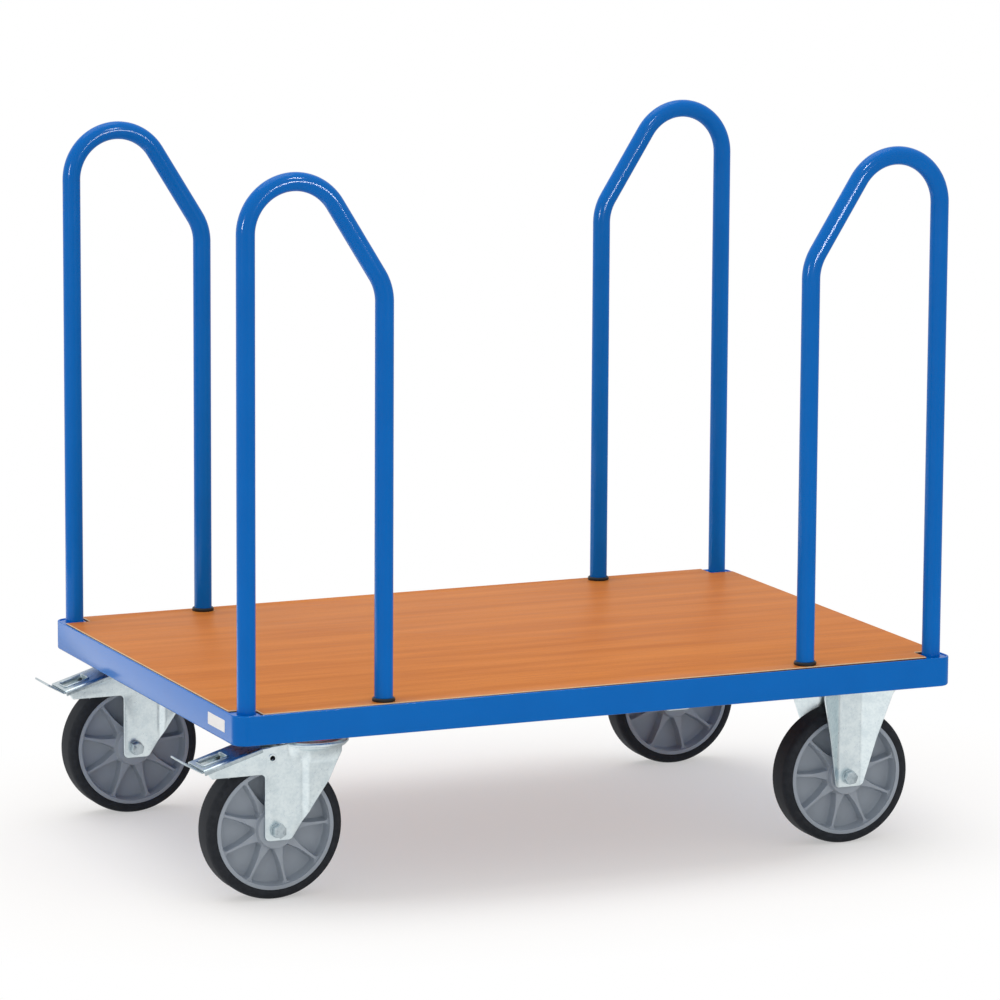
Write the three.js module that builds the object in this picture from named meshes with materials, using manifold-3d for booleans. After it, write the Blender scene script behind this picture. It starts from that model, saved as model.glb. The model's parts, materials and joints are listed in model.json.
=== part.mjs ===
// Side rail platform trolley: a wooden deck in a steel frame, four plug-in side bows,
// two braked swivel casters at the left end and two fixed casters at the right end.
// Millimetres, +Z up, +X along the deck towards the fixed casters, -Y is the front.
// The origin lies on the floor under the middle of the overall length and width.

import * as THREE from "three";
import { mergeVertices } from "three/addons/utils/BufferGeometryUtils.js";
import Module from "manifold-3d";

const wasm = await Module();
wasm.setup();

// Clearances
const seat = 0.3; // between two pieces that rest on each other
const runningGap = 0.6; // rim's bore around the axle sleeve
const overrun = 2; // how far a cutting body runs past the piece it cuts

// Frame
const frameLength = 1100;
const frameWidth = 750;
const railHeight = 42;
const railWall = 3;
const railFlange = 40; // bottom flange, from the outer face
const deckLedge = 28; // ledge under the board, from the outer face
const cornerSize = 40;
const cornerRadius = 20;
const cornerPlate = 4;
const socketWall = 1.8;

// Cross members
const bearerWidth = 150;
const bearerWall = 3;
const middleBearerWidth = 60;

// Deck board
const deckThickness = 12;
const deckProud = 2; // deck surface above the frame's rim
const deckGap = 1.5; // between board and rim, all round

// Side bows
const tubeRadius = 13;
const tubeWall = 2;
const tubeClearance = 0.8; // around a leg in its socket
const legInset = 24; // leg axis from the frame's outer faces
const legSpacing = 202; // between the two legs of a bow
const bowRise = 736; // bow top above the frame's rim
const bendRadius = 70; // centre line of every bend
const bowSlant = THREE.MathUtils.degToRad(32); // sloping side, from the vertical
const collarWall = 1.9;
const collarStand = 5; // collar above the deck

// Wheels
const wheelRadius = 100;
const tyreWidth = 46.7;
const tyreThickness = 14;
const treadFlat = 34; // flat band in the middle of the tread
const tyreShoulder = 2; // half way down the rounded shoulder
const tyreSide = 8; // height of the rounded shoulder
const tyreSeatWidth = 44;
const rimWall = 6;
const rimWeb = 5;
const spokes = 9;
const spokeRecess = 5; // spokes behind the rim's faces
const spokeRoot = 9; // spoke width at the hub
const spokeTip = 4.6; // spoke width at the rim
const hubRadius = 27;
const hubClearance = 0.5; // hub end to fork cheek
const sleeveWall = 5.4;
const wheelSides = 32;

// Axles
const axleRadius = 5;
const boltAcrossFlats = 17;
const boltHead = 8.5;
const nutHeight = 8;
const washerRadius = 10.5;
const washerHeight = 2;

// Casters
const plateLength = 135;
const plateWidth = 110;
const plateThickness = 4;
const plateRound = 10;
const boltSpacingX = 105;
const boltSpacingY = 80;
const boltHoleRadius = 5.5;
const wheelInset = 90; // caster axis from the frame's front and rear faces
const tyreClearance = 18; // tyre top to the underside of the swivel crown
const forkSheet = 4;
const forkClearance = 2.65; // tyre side to fork cheek
const forkFoot = 15; // fork below the axle
const footRound = 8;

// Fixed fork
const fixedInset = 134; // fixed axle from the frame's right face
const fixedPlate = 5;
const fixedPlateWidth = 120;
const fluteHalfWidth = 18.5;
const wingReach = 38.2; // wing beyond the flute at the plate
const wingSpread = 30; // wing outward of the flute at the plate
const waistHalfWidth = 37;
const waistHeight = 57; // above the axle
const fixedFootHalfWidth = 21;

// Swivel fork
const swivelInset = 144; // kingpin from the frame's left face
const trail = 60;
const crownRadius = 53.5;
const crownSheet = 5;
const crownSkirt = 20.5; // crown top to the lower edge of its skirt
const skirtTaper = 9;
const crownEdge = 6; // height and depth of the crown's rounded edge
const raceInner = 26;
const raceOuter = 37;
const sealRadius = 47;
const sealWidth = 4;
const sealHeight = 4.5;
const raceHeight = 7.4; // crown top to the underside of the plate
const pinRadius = 8;
const pinHeadRadius = 14;
const pinHead = 6;
const legFront = 18.5; // cheek ahead of the axle
const legBack = 20.5; // cheek behind the axle, at its foot
const creaseBack = 34; // cheek turns outwards here, behind the axle
const fluteRun = 12;
const fluteDepth = 5;
const panelFlare = THREE.MathUtils.degToRad(8); // cheek behind the flute
const kneeBack = 73; // bend in the cheek's rear edge, behind the axle
const kneeDrop = 33; // that bend below the tyre top
const wingTop = 16; // crown top to the upper end of the rear edge
const wingBack = 90.5; // upper end of the rear edge, behind the axle
const armUnderside = 20.5; // underside of the brake arm, below the tyre top
const armRound = 6;
const noseReach = 105.5; // fork's nose ahead of the axle
const noseChamfer = 9;
const shoulderAhead = 26; // where the arm's top edge turns towards the crown
const crestBack = 14; // where that edge meets the crown, behind the axle

// Brake pedal, measured from the axle and from the tyre top
const pedalSheet = 2;
const pedalSlope = THREE.MathUtils.degToRad(17);
const pedalNose = 109; // plate's front edge ahead of the axle
const pedalNoseDrop = 7; // that edge below the tyre top
const pedalBack = 48; // plate's rear edge ahead of the axle
const pedalFlange = 8;
const slotLength = 34;
const slotWidth = 28;
const slotFromNose = 7;
const pivotAhead = 7.7;
const pivotAboveTyre = 2;
const pivotHole = 3.8;
const pivotCollar = 5.2;
const earRadius = 8.5;
const earThickness = 1.8;
const earGap = 0.4; // ear to fork cheek
const leafWidth = 46;
const leafBack = 47; // leaf's rear end ahead of the axle
const treadWidth = 58;
const treadReach = 25; // tread beyond the pedal's front edge
const treadSlope = THREE.MathUtils.degToRad(31);
const shoeAngle = THREE.MathUtils.degToRad(35); // shoe ahead of the wheel's top
const shoeArc = THREE.MathUtils.degToRad(12);
const shoeWidth = 32;
const shoeGap = 0.5; // shoe to tyre with the pedal pressed

// Facets of round pieces
const boreSides = 16;
const tubeSides = 12;
const smallSides = 12;
const holeSides = 8;
const crownSides = 24;
const bendSteps = 8;
const elbowSteps = 3;
const arcSteps = 1;

// Heights, worked out from the wheel upwards
const wheelTop = 2 * wheelRadius;
const crownTop = wheelTop + tyreClearance + crownSheet;
const plateBottom = crownTop + seat + raceHeight;
const plateTop = plateBottom + plateThickness;
const frameBottom = plateTop + seat;
const flangeTop = frameBottom + railWall;
const rimTop = frameBottom + railHeight;
const deckTop = rimTop + deckProud;
const deckBottom = deckTop - deckThickness;
const ledgeTop = deckBottom - seat;
const ledgeBottom = ledgeTop - railWall;
const legBottom = flangeTop + seat;

// Places along and across the trolley, from the middle of the frame
const frameEnd = frameLength / 2;
const frameSide = frameWidth / 2;
const legX = frameEnd - legInset;
const innerLegX = legX - legSpacing;
const legY = frameSide - legInset;
const casterY = frameSide - wheelInset;
const kingpinX = -frameEnd + swivelInset;
const fixedAxleX = frameEnd - fixedInset;
const treadTipX = kingpinX - trail - pedalNose - pedalSheet / 2 - treadReach;
const middleX = (frameEnd + treadTipX) / 2;

// Widths inside the casters
const forkInner = tyreWidth / 2 + forkClearance;
const forkOuter = forkInner + forkSheet;
const hubHalf = forkInner - hubClearance;
const rimRadius = wheelRadius - tyreThickness;
const sleeveBore = axleRadius + seat;
const sleeveRadius = sleeveBore + sleeveWall;
const boreRadius = tubeRadius + tubeClearance;
const socketRadius = boreRadius + socketWall;
const collarRadius = boreRadius + collarWall;

const bluePaint = { color: 0x0064b4, roughness: 0.32, metalness: 0 };
const beechBoard = { color: 0xcd8042, roughness: 0.45, metalness: 0 };
const zincPlate = { color: 0xc9d3d6, roughness: 0.35, metalness: 0.9 };
const blackPlastic = { color: 0x17181a, roughness: 0.5, metalness: 0 };
const greyPlastic = { color: 0x8a8d94, roughness: 0.5, metalness: 0 };
const blackRubber = { color: 0x2b2d31, roughness: 0.8, metalness: 0 };
const redSeal = { color: 0xc0243a, roughness: 0.5, metalness: 0 };

// A closed geometry as a solid that can be joined and cut.
function solid(geometry) {
  const bare = geometry.clone();
  bare.deleteAttribute("normal");
  bare.deleteAttribute("uv");
  const merged = mergeVertices(bare);
  const vertProperties = new Float32Array(merged.attributes.position.array);
  const triVerts = new Uint32Array(merged.index.array);
  return new wasm.Manifold(new wasm.Mesh({ numProp: 3, vertProperties, triVerts }));
}

function geometryOf(body) {
  const mesh = body.getMesh();
  const geometry = new THREE.BufferGeometry();
  geometry.setAttribute("position", new THREE.BufferAttribute(mesh.vertProperties, 3));
  geometry.setIndex(new THREE.BufferAttribute(mesh.triVerts, 1));
  geometry.computeVertexNormals();
  return geometry;
}

function join(first, ...others) {
  return others.reduce((sum, body) => sum.add(body), first);
}

function cut(first, ...tools) {
  return tools.reduce((rest, tool) => rest.subtract(tool), first);
}

function part(name, body, finish) {
  const mesh = new THREE.Mesh(geometryOf(body), new THREE.MeshStandardMaterial(finish));
  mesh.name = name;
  return mesh;
}

function group(x, y, z, ...children) {
  const holder = new THREE.Group();
  holder.position.set(x, y, z);
  holder.add(...children);
  return holder;
}

// Outlines: each corner is [across, up, fillet radius].
function outline(corners) {
  const shape = new THREE.Shape();
  const count = corners.length;
  corners.forEach(([x, y, radius = 0], i) => {
    const here = new THREE.Vector2(x, y);
    const [backX, backY] = corners[(i + count - 1) % count];
    const [aheadX, aheadY] = corners[(i + 1) % count];
    const back = new THREE.Vector2(backX, backY).sub(here).normalize();
    const ahead = new THREE.Vector2(aheadX, aheadY).sub(here).normalize();
    const half = Math.acos(THREE.MathUtils.clamp(back.dot(ahead), -1, 1)) / 2;
    const start = here.clone().addScaledVector(back, radius / Math.tan(half));
    if (i === 0) shape.moveTo(start.x, start.y);
    else shape.lineTo(start.x, start.y);
    if (radius === 0) return;
    const end = here.clone().addScaledVector(ahead, radius / Math.tan(half));
    const centre = here.clone().addScaledVector(back.add(ahead).normalize(), radius / Math.sin(half));
    const from = Math.atan2(start.y - centre.y, start.x - centre.x);
    const to = Math.atan2(end.y - centre.y, end.x - centre.x);
    let sweep = to - from;
    if (sweep > Math.PI) sweep -= 2 * Math.PI;
    if (sweep < -Math.PI) sweep += 2 * Math.PI;
    for (let step = 1; step <= 2 * arcSteps; step++) {
      const angle = from + (sweep * step) / (2 * arcSteps);
      shape.lineTo(centre.x + radius * Math.cos(angle), centre.y + radius * Math.sin(angle));
    }
  });
  return shape;
}

// A regular polygon about a circle, so that its flats touch the circle.
function circle(radius, sides, x = 0, y = 0, Kind = THREE.Shape) {
  const path = new Kind();
  const corner = radius / Math.cos(Math.PI / sides);
  for (let i = 0; i < sides; i++) {
    const angle = ((i + 0.5) / sides) * 2 * Math.PI;
    const px = x + corner * Math.cos(angle);
    const py = y + corner * Math.sin(angle);
    if (i === 0) path.moveTo(px, py);
    else path.lineTo(px, py);
  }
  return path;
}

function extrude(shape, depth) {
  return new THREE.ExtrudeGeometry(shape, { depth, bevelEnabled: false });
}

// Prisms along each axis; the outline's axes are (y, z), (x, z) and (x, y).
function prismX(shape, from, to) {
  return solid(extrude(shape, to - from).rotateX(Math.PI / 2).rotateZ(Math.PI / 2).translate(from, 0, 0));
}

function prismY(shape, from, to) {
  return solid(extrude(shape, to - from).rotateX(Math.PI / 2).translate(0, to, 0));
}

function prismZ(shape, from, to) {
  return solid(extrude(shape, to - from).translate(0, 0, from));
}

function roundZ(radius, from, to, x = 0, y = 0, sides = boreSides) {
  return prismZ(circle(radius, sides, x, y), from, to);
}

function roundY(radius, from, to, x = 0, z = 0, sides = boreSides) {
  return prismY(circle(radius, sides, x, z), from, to);
}

function tubeZ(inner, outer, from, to, sides = boreSides) {
  const ring = circle(outer, sides);
  ring.holes.push(circle(inner, sides, 0, 0, THREE.Path));
  return prismZ(ring, from, to);
}

function tubeY(inner, outer, from, to, sides = boreSides) {
  const ring = circle(outer, sides);
  ring.holes.push(circle(inner, sides, 0, 0, THREE.Path));
  return prismY(ring, from, to);
}

// A turned body about Y whose flats touch the true radii, one flat facing the floor.
function turnedY(profile, sides) {
  const points = profile.map(([radius, y]) => new THREE.Vector2(radius / Math.cos(Math.PI / sides), y));
  points.push(points[0].clone());
  return solid(new THREE.LatheGeometry(points, sides, Math.PI / sides));
}

// Frame

// Rail section, measured inwards from the outer face and up from the underside.
function railSection(inwards) {
  const ledgeLow = ledgeBottom - frameBottom;
  const ledgeHigh = ledgeTop - frameBottom;
  const corners = [
    [0, 0],
    [railFlange, 0],
    [railFlange, railWall],
    [railWall, railWall],
    [railWall, ledgeLow],
    [deckLedge, ledgeLow],
    [deckLedge, ledgeHigh],
    [railWall, ledgeHigh],
    [railWall, railHeight],
    [0, railHeight],
  ];
  return outline(corners.map(([depth, height]) => [inwards(depth), frameBottom + height]));
}

function sideRail(side) {
  const run = frameEnd - cornerSize - seat;
  const rail = prismX(railSection((depth) => side * (frameSide - depth)), -run, run);
  const [from, to] = [ledgeBottom - overrun, ledgeTop + overrun];
  const holes = [-innerLegX, innerLegX].map((x) => roundZ(socketRadius + seat, from, to, x, side * legY));
  return cut(rail, ...holes);
}

function endRail(end) {
  const run = frameSide - cornerSize - seat;
  return prismY(railSection((depth) => end * (frameEnd - depth)), -run, run);
}

// Corner of the frame with the socket of a bow's outer leg.
function cornerSocket(end, side) {
  const place = ([across, along, radius]) => [
    end * (frameEnd - across),
    side * (frameSide - along),
    radius,
  ];
  const plate = outline(
    [
      [0, 0, cornerRadius],
      [cornerSize, 0],
      [cornerSize, cornerSize],
      [0, cornerSize],
    ].map(place)
  );
  const skin = outline(
    [
      [0, 0, cornerRadius],
      [cornerSize, 0],
      [cornerSize, railWall],
      [railWall, railWall, cornerRadius - railWall],
      [railWall, cornerSize],
      [0, cornerSize],
    ].map(place)
  );
  const body = join(
    prismZ(skin, frameBottom, rimTop),
    prismZ(plate, frameBottom, flangeTop),
    prismZ(plate, rimTop - cornerPlate, rimTop),
    roundZ(socketRadius, frameBottom, rimTop, end * legX, side * legY)
  );
  return cut(body, roundZ(boreRadius, flangeTop, rimTop + overrun, end * legX, side * legY));
}

function innerSocket() {
  return tubeZ(boreRadius, socketRadius, flangeTop + seat, deckBottom - seat);
}

// Folded channel across the frame, open towards the board.
function bearer(width, holes) {
  const half = width / 2;
  const run = frameSide - railFlange - seat;
  const section = outline([
    [-half, frameBottom],
    [half, frameBottom],
    [half, ledgeTop],
    [half - bearerWall, ledgeTop],
    [half - bearerWall, frameBottom + bearerWall],
    [-half + bearerWall, frameBottom + bearerWall],
    [-half + bearerWall, ledgeTop],
    [-half, ledgeTop],
  ]);
  return cut(prismY(section, -run, run), ...holes);
}

function plateHoles(from, to, y) {
  const holes = [];
  for (const sx of [-1, 1]) {
    for (const sy of [-1, 1]) {
      const holeX = (sx * boltSpacingX) / 2;
      const holeY = y + (sy * boltSpacingY) / 2;
      holes.push(roundZ(boltHoleRadius, from, to, holeX, holeY, holeSides));
    }
  }
  return holes;
}

function casterBearer() {
  const from = frameBottom - overrun;
  const to = frameBottom + bearerWall + overrun;
  return bearer(bearerWidth, [...plateHoles(from, to, -casterY), ...plateHoles(from, to, casterY)]);
}

function deckBoard() {
  const endX = frameEnd - railWall - deckGap;
  const sideY = frameSide - railWall - deckGap;
  const notchX = frameEnd - cornerSize - deckGap;
  const notchY = frameSide - cornerSize - deckGap;
  const board = outline([
    [-notchX, -sideY],
    [notchX, -sideY],
    [notchX, -notchY],
    [endX, -notchY],
    [endX, notchY],
    [notchX, notchY],
    [notchX, sideY],
    [-notchX, sideY],
    [-notchX, notchY],
    [-endX, notchY],
    [-endX, -notchY],
    [-notchX, -notchY],
  ]);
  for (const x of [-innerLegX, innerLegX]) {
    for (const y of [-legY, legY]) {
      board.holes.push(circle(collarRadius + seat, boreSides, x, y, THREE.Path));
    }
  }
  return prismZ(board, deckBottom, deckTop);
}

// Side bows

// A path that is sampled only where the tube starts to bend, bends or stops bending.
class BowPath extends THREE.Curve {
  constructor(stations) {
    super();
    this.stations = stations;
  }

  station(share) {
    return this.stations[Math.round(share * (this.stations.length - 1))];
  }

  getPointAt(share) {
    return this.station(share).point.clone();
  }

  getTangentAt(share) {
    return this.station(share).tangent.clone();
  }
}

// Stations of one bow, from the foot of its outer leg at x = 0 to that of its inner leg.
function bowStations(towards) {
  const stations = [];
  const put = (x, z, turn) => {
    const point = new THREE.Vector3(towards * x, 0, z);
    const tangent = new THREE.Vector3(towards * Math.sin(turn), 0, Math.cos(turn));
    stations.push({ point, tangent });
  };
  const springLine = rimTop + bowRise - tubeRadius - bendRadius;
  put(0, legBottom, 0);
  const topTurn = Math.PI - bowSlant;
  for (let i = 0; i <= bendSteps; i++) {
    const turn = (topTurn * i) / bendSteps;
    put(bendRadius - bendRadius * Math.cos(turn), springLine + bendRadius * Math.sin(turn), turn);
  }
  const slantX = bendRadius - bendRadius * Math.cos(topTurn);
  const slantZ = springLine + bendRadius * Math.sin(topTurn);
  const elbowX = legSpacing - bendRadius + bendRadius * Math.cos(bowSlant);
  const elbowZ = slantZ - (elbowX - slantX) / Math.tan(bowSlant);
  const elbowFoot = elbowZ - bendRadius * Math.sin(bowSlant);
  for (let i = 0; i <= elbowSteps; i++) {
    const turn = bowSlant * (1 - i / elbowSteps);
    const x = legSpacing - bendRadius + bendRadius * Math.cos(turn);
    put(x, elbowFoot + bendRadius * Math.sin(turn), Math.PI - turn);
  }
  put(legSpacing, legBottom, Math.PI);
  return stations;
}

function bow(towards) {
  const stations = bowStations(towards);
  const ring = circle(tubeRadius, tubeSides);
  ring.holes.push(circle(tubeRadius - tubeWall, holeSides, 0, 0, THREE.Path));
  const steps = stations.length - 1;
  return solid(new THREE.ExtrudeGeometry(ring, { steps, extrudePath: new BowPath(stations) }));
}

function collar() {
  return tubeZ(boreRadius, collarRadius, deckBottom, deckTop + collarStand);
}

// Wheels, about their own axle

function tyre() {
  const inner = rimRadius + seat;
  const half = tyreWidth / 2;
  const sideHeight = wheelRadius - tyreSide;
  return turnedY(
    [
      [inner, -tyreSeatWidth / 2],
      [sideHeight, -half],
      [wheelRadius - tyreShoulder, -half + tyreShoulder],
      [wheelRadius, -treadFlat / 2],
      [wheelRadius, treadFlat / 2],
      [wheelRadius - tyreShoulder, half - tyreShoulder],
      [sideHeight, half],
      [inner, tyreSeatWidth / 2],
    ],
    wheelSides
  );
}

// Pocket between two spokes, in the wheel's plane; the turn is that of the whole wheel.
function pocket(index, turn) {
  const pitch = (2 * Math.PI) / spokes;
  const middle = Math.PI / 2 + (index + 0.5) * pitch + turn;
  const inner = hubRadius - overrun;
  const outer = rimRadius - rimWall;
  const corner = (radius, side, width) => {
    const spoke = middle + (side * pitch) / 2;
    const x = radius * Math.cos(spoke) + ((side * width) / 2) * Math.sin(spoke);
    const y = radius * Math.sin(spoke) - ((side * width) / 2) * Math.cos(spoke);
    return [x, y];
  };
  return outline([
    corner(inner, -1, spokeRoot),
    corner(outer, -1, spokeTip),
    [outer * Math.cos(middle), outer * Math.sin(middle)],
    corner(outer, 1, spokeTip),
    corner(inner, 1, spokeRoot),
  ]);
}

function rim(turn) {
  const faces = tyreSeatWidth / 2;
  const spoked = circle(rimRadius - rimWall / 2, wheelSides);
  for (let i = 0; i < spokes; i++) {
    spoked.holes.push(new THREE.Path(pocket(i, turn).getPoints(1)));
  }
  const body = join(
    prismY(spoked, -faces + spokeRecess, faces - spokeRecess),
    tubeY(rimRadius - rimWall, rimRadius, -faces, faces, wheelSides),
    roundY(rimRadius - rimWall / 2, -rimWeb / 2, rimWeb / 2, 0, 0, wheelSides),
    roundY(hubRadius, -hubHalf, hubHalf)
  );
  const bore = sleeveRadius + runningGap;
  return cut(body, roundY(bore, -hubHalf - overrun, hubHalf + overrun, 0, 0, smallSides));
}

function axleSleeve() {
  return tubeY(sleeveBore, sleeveRadius, -forkInner + seat, forkInner - seat, smallSides);
}

// Hexagon about Y with two flats upright.
function hexagonY(from, to) {
  return roundY(boltAcrossFlats / 2, from, to, 0, 0, 6);
}

function axleBolt() {
  const face = -forkOuter - seat;
  const end = forkOuter + seat + washerHeight + nutHeight + overrun;
  return join(
    roundY(washerRadius, face - washerHeight, face, 0, 0, smallSides),
    hexagonY(face - washerHeight - boltHead, face - washerHeight),
    roundY(axleRadius, face - washerHeight, end, 0, 0, smallSides)
  );
}

function axleNut() {
  const face = forkOuter + seat;
  const body = join(
    roundY(washerRadius, face, face + washerHeight, 0, 0, smallSides),
    hexagonY(face + washerHeight, face + washerHeight + nutHeight)
  );
  const end = face + washerHeight + nutHeight;
  return cut(body, roundY(sleeveBore, face - overrun, end + overrun, 0, 0, smallSides));
}

function wheel(prefix, turn) {
  return group(
    0,
    0,
    wheelRadius,
    part(`${prefix}_tyre`, tyre(), blackRubber),
    part(`${prefix}_rim`, rim(turn), greyPlastic),
    part(`${prefix}_axle_sleeve`, axleSleeve(), zincPlate),
    part(`${prefix}_axle_bolt`, axleBolt(), zincPlate),
    part(`${prefix}_axle_nut`, axleNut(), zincPlate)
  );
}

// Caster parts that both kinds share

function casterPlate(width, from, to) {
  const x = plateLength / 2;
  const y = width / 2;
  const plate = outline([
    [-x, -y, plateRound],
    [x, -y, plateRound],
    [x, y, plateRound],
    [-x, y, plateRound],
  ]);
  return prismZ(plate, from, to);
}

// Both cheeks of a fork: a folded sheet seen from above, trimmed by its side view.
function cheeks(sheetCorners, sideView, from, to, reach) {
  const sheets = [-1, 1].map((side) => {
    const outer = sheetCorners.map(([x, y]) => [x, side * (y + forkSheet)]);
    const inner = sheetCorners.map(([x, y]) => [x, side * y]).reverse();
    return prismZ(outline([...outer, ...inner]), from, to);
  });
  return join(...sheets).intersect(prismY(sideView, -reach, reach));
}

// Fixed casters, about the point on the floor under the axle

function fixedFork() {
  const bottom = plateTop - fixedPlate;
  const wing = fluteHalfWidth + wingReach;
  const spread = forkInner + wingSpread;
  const sheet = [
    [-wing, spread],
    [-fluteHalfWidth, forkInner],
    [fluteHalfWidth, forkInner],
    [wing, spread],
  ];
  const foot = wheelRadius - forkFoot;
  const waist = wheelRadius + waistHeight;
  const side = outline([
    [-fixedFootHalfWidth, foot, footRound],
    [fixedFootHalfWidth, foot, footRound],
    [waistHalfWidth, waist],
    [wing, bottom + seat],
    [-wing, bottom + seat],
    [-waistHalfWidth, waist],
  ]);
  const reach = spread + forkSheet + overrun;
  const body = join(
    cheeks(sheet, side, foot - overrun, bottom + seat, reach),
    casterPlate(fixedPlateWidth, bottom, plateTop)
  );
  return cut(
    body,
    roundY(axleRadius + seat, -reach, reach, 0, wheelRadius, smallSides),
    ...plateHoles(bottom - overrun, plateTop + overrun, 0)
  );
}

function fixedCaster(prefix, turn) {
  return group(0, 0, 0, part(`${prefix}_fork`, fixedFork(), zincPlate), wheel(prefix, turn));
}

// Swivel casters, about the point on the floor under the axle

const pivotZ = wheelTop + pivotAboveTyre;
const sheetRise = 1 / Math.cos(pedalSlope); // upright thickness of a sloping sheet, per mm

// Heights of the sloping sheets over the brake arm, ahead of the axle.
function pedalTop(ahead) {
  return wheelTop - pedalNoseDrop + (pedalNose - ahead) * Math.tan(pedalSlope);
}

function pedalUnder(ahead) {
  return pedalTop(ahead) - pedalSheet * sheetRise;
}

function armTop(ahead) {
  return pedalUnder(ahead) - seat * sheetRise;
}

function leafUnder(ahead) {
  return armTop(ahead) - pedalSheet * sheetRise;
}

function swivelPlate() {
  const body = join(
    casterPlate(plateWidth, plateBottom, plateTop),
    tubeZ(raceInner, raceOuter, crownTop + seat, plateTop, crownSides)
  );
  return cut(
    body,
    roundZ(pinRadius + seat, plateBottom - overrun, plateTop + overrun),
    ...plateHoles(plateBottom - overrun, plateTop + overrun, 0)
  );
}

function seal() {
  const bottom = crownTop + seat;
  return tubeZ(sealRadius - sealWidth, sealRadius, bottom, bottom + sealHeight, crownSides);
}

function kingpin() {
  const head = crownTop - crownSheet - seat;
  return join(
    roundZ(pinHeadRadius, head - pinHead, head),
    roundZ(pinRadius, head - pinHead, plateTop - seat)
  );
}

// Dished crown of the fork, turned about the kingpin.
function crown() {
  const low = crownTop - crownSkirt;
  const profile = [
    [0, crownTop - crownSheet],
    [crownRadius - crownSheet, crownTop - crownSheet],
    [crownRadius - skirtTaper - forkSheet, low],
    [crownRadius - skirtTaper, low],
    [crownRadius, crownTop - 2 * crownEdge],
    [crownRadius, crownTop - crownEdge],
    [crownRadius - crownEdge, crownTop],
    [0, crownTop],
  ];
  const points = profile.map(([radius, z]) => new THREE.Vector2(radius, z));
  return solid(new THREE.LatheGeometry(points, crownSides).rotateX(Math.PI / 2).translate(trail, 0, 0));
}

// Cheek of the swivel fork in its side view: leg, skirt under the crown and brake arm.
function swivelSideView() {
  const foot = wheelRadius - forkFoot;
  const underside = wheelTop - armUnderside;
  const crownUnder = crownTop - crownSheet / 2;
  return outline([
    [-legFront, foot, footRound],
    [legBack, foot, footRound],
    [kneeBack, wheelTop - kneeDrop],
    [wingBack, crownTop - wingTop],
    [wingBack, crownUnder],
    [crestBack, crownUnder],
    [-shoulderAhead, armTop(shoulderAhead)],
    [-noseReach, armTop(noseReach)],
    [-noseReach + noseChamfer, underside, armRound],
    [-legFront, underside, armRound],
  ]);
}

function swivelFork() {
  const panel = forkInner + fluteDepth;
  const edge = wingBack + overrun;
  const sheet = [
    [-noseReach - overrun, forkInner],
    [creaseBack, forkInner],
    [creaseBack + fluteRun, panel],
    [edge, panel + (edge - creaseBack - fluteRun) * Math.tan(panelFlare)],
  ];
  const reach = crownRadius;
  const collars = [-1, 1].map((sign) => {
    const ends = [sign * (forkInner - earGap - earThickness), sign * (forkInner + overrun)];
    return roundY(pivotCollar, Math.min(...ends), Math.max(...ends), -pivotAhead, pivotZ, tubeSides);
  });
  const body = join(
    cheeks(sheet, swivelSideView(), wheelRadius - forkFoot - overrun, crownTop, reach),
    crown(),
    ...collars
  );
  return cut(
    body,
    roundZ(pinRadius + seat, crownTop - crownSkirt, crownTop + overrun, trail),
    roundY(axleRadius + seat, -reach, reach, 0, wheelRadius, smallSides),
    roundY(pivotHole, -reach, reach, -pivotAhead, pivotZ, tubeSides)
  );
}

// Cutting body of the pedal's slot, wider by a margin all round.
function pedalSlot(margin) {
  const near = pedalNose - slotFromNose + margin;
  const far = pedalNose - slotFromNose - slotLength - margin;
  const half = slotWidth / 2 + margin;
  const slot = outline([
    [-near, -half],
    [-far, -half],
    [-far, half],
    [-near, half],
  ]);
  return prismZ(slot, leafUnder(near) - overrun, pedalTop(far) + overrun);
}

// Brake pedal: a slotted plate that caps the arm, with flanges outside the cheeks
// and ears inside them that turn on the fork's collars.
function brakePedal() {
  const half = forkOuter + seat + pedalSheet;
  const plate = outline([
    [-pedalNose, pedalTop(pedalNose)],
    [-pedalBack, pedalTop(pedalBack)],
    [-pedalBack, pedalUnder(pedalBack)],
    [-pedalNose, pedalUnder(pedalNose)],
  ]);
  const flange = outline([
    [-pedalNose, pedalTop(pedalNose)],
    [-pedalBack, pedalTop(pedalBack)],
    [-pedalBack, pedalTop(pedalBack) - pedalFlange],
    [-pedalNose, pedalTop(pedalNose) - pedalFlange],
  ]);
  const earFront = pedalBack + 2 * earRadius;
  const ear = outline([
    [-earFront, pedalUnder(earFront) + seat],
    [-pedalBack, pedalUnder(pedalBack) + seat],
    [-pivotAhead, pivotZ + earRadius],
    [-pivotAhead, pivotZ - earRadius],
    [-earFront, pedalUnder(earFront) - pedalFlange],
  ]);
  const earOuter = forkInner - earGap;
  const ears = [-earOuter, earOuter - earThickness].flatMap((from) => [
    prismY(ear, from, from + earThickness),
    roundY(earRadius, from, from + earThickness, -pivotAhead, pivotZ),
  ]);
  const flanges = [-half, half - pedalSheet].map((from) => prismY(flange, from, from + pedalSheet));
  return cut(
    join(prismY(plate, -half, half), ...flanges, ...ears),
    pedalSlot(0),
    roundY(pivotCollar + seat, -forkInner, forkInner, -pivotAhead, pivotZ, tubeSides)
  );
}

// Side view of the leaf and the upturned tread, from a place ahead of the axle onwards.
function treadSideView(start) {
  const bend = pedalNose + pedalSheet / 2;
  const tip = bend + treadReach;
  const tipTop = armTop(bend) + treadReach * Math.tan(treadSlope);
  const upright = pedalSheet / Math.cos(treadSlope);
  return outline([
    [-start, armTop(start)],
    [-start, leafUnder(start)],
    [-bend, leafUnder(bend)],
    [-tip, tipTop - upright],
    [-tip, tipTop],
    [-bend, armTop(bend)],
  ]);
}

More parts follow.
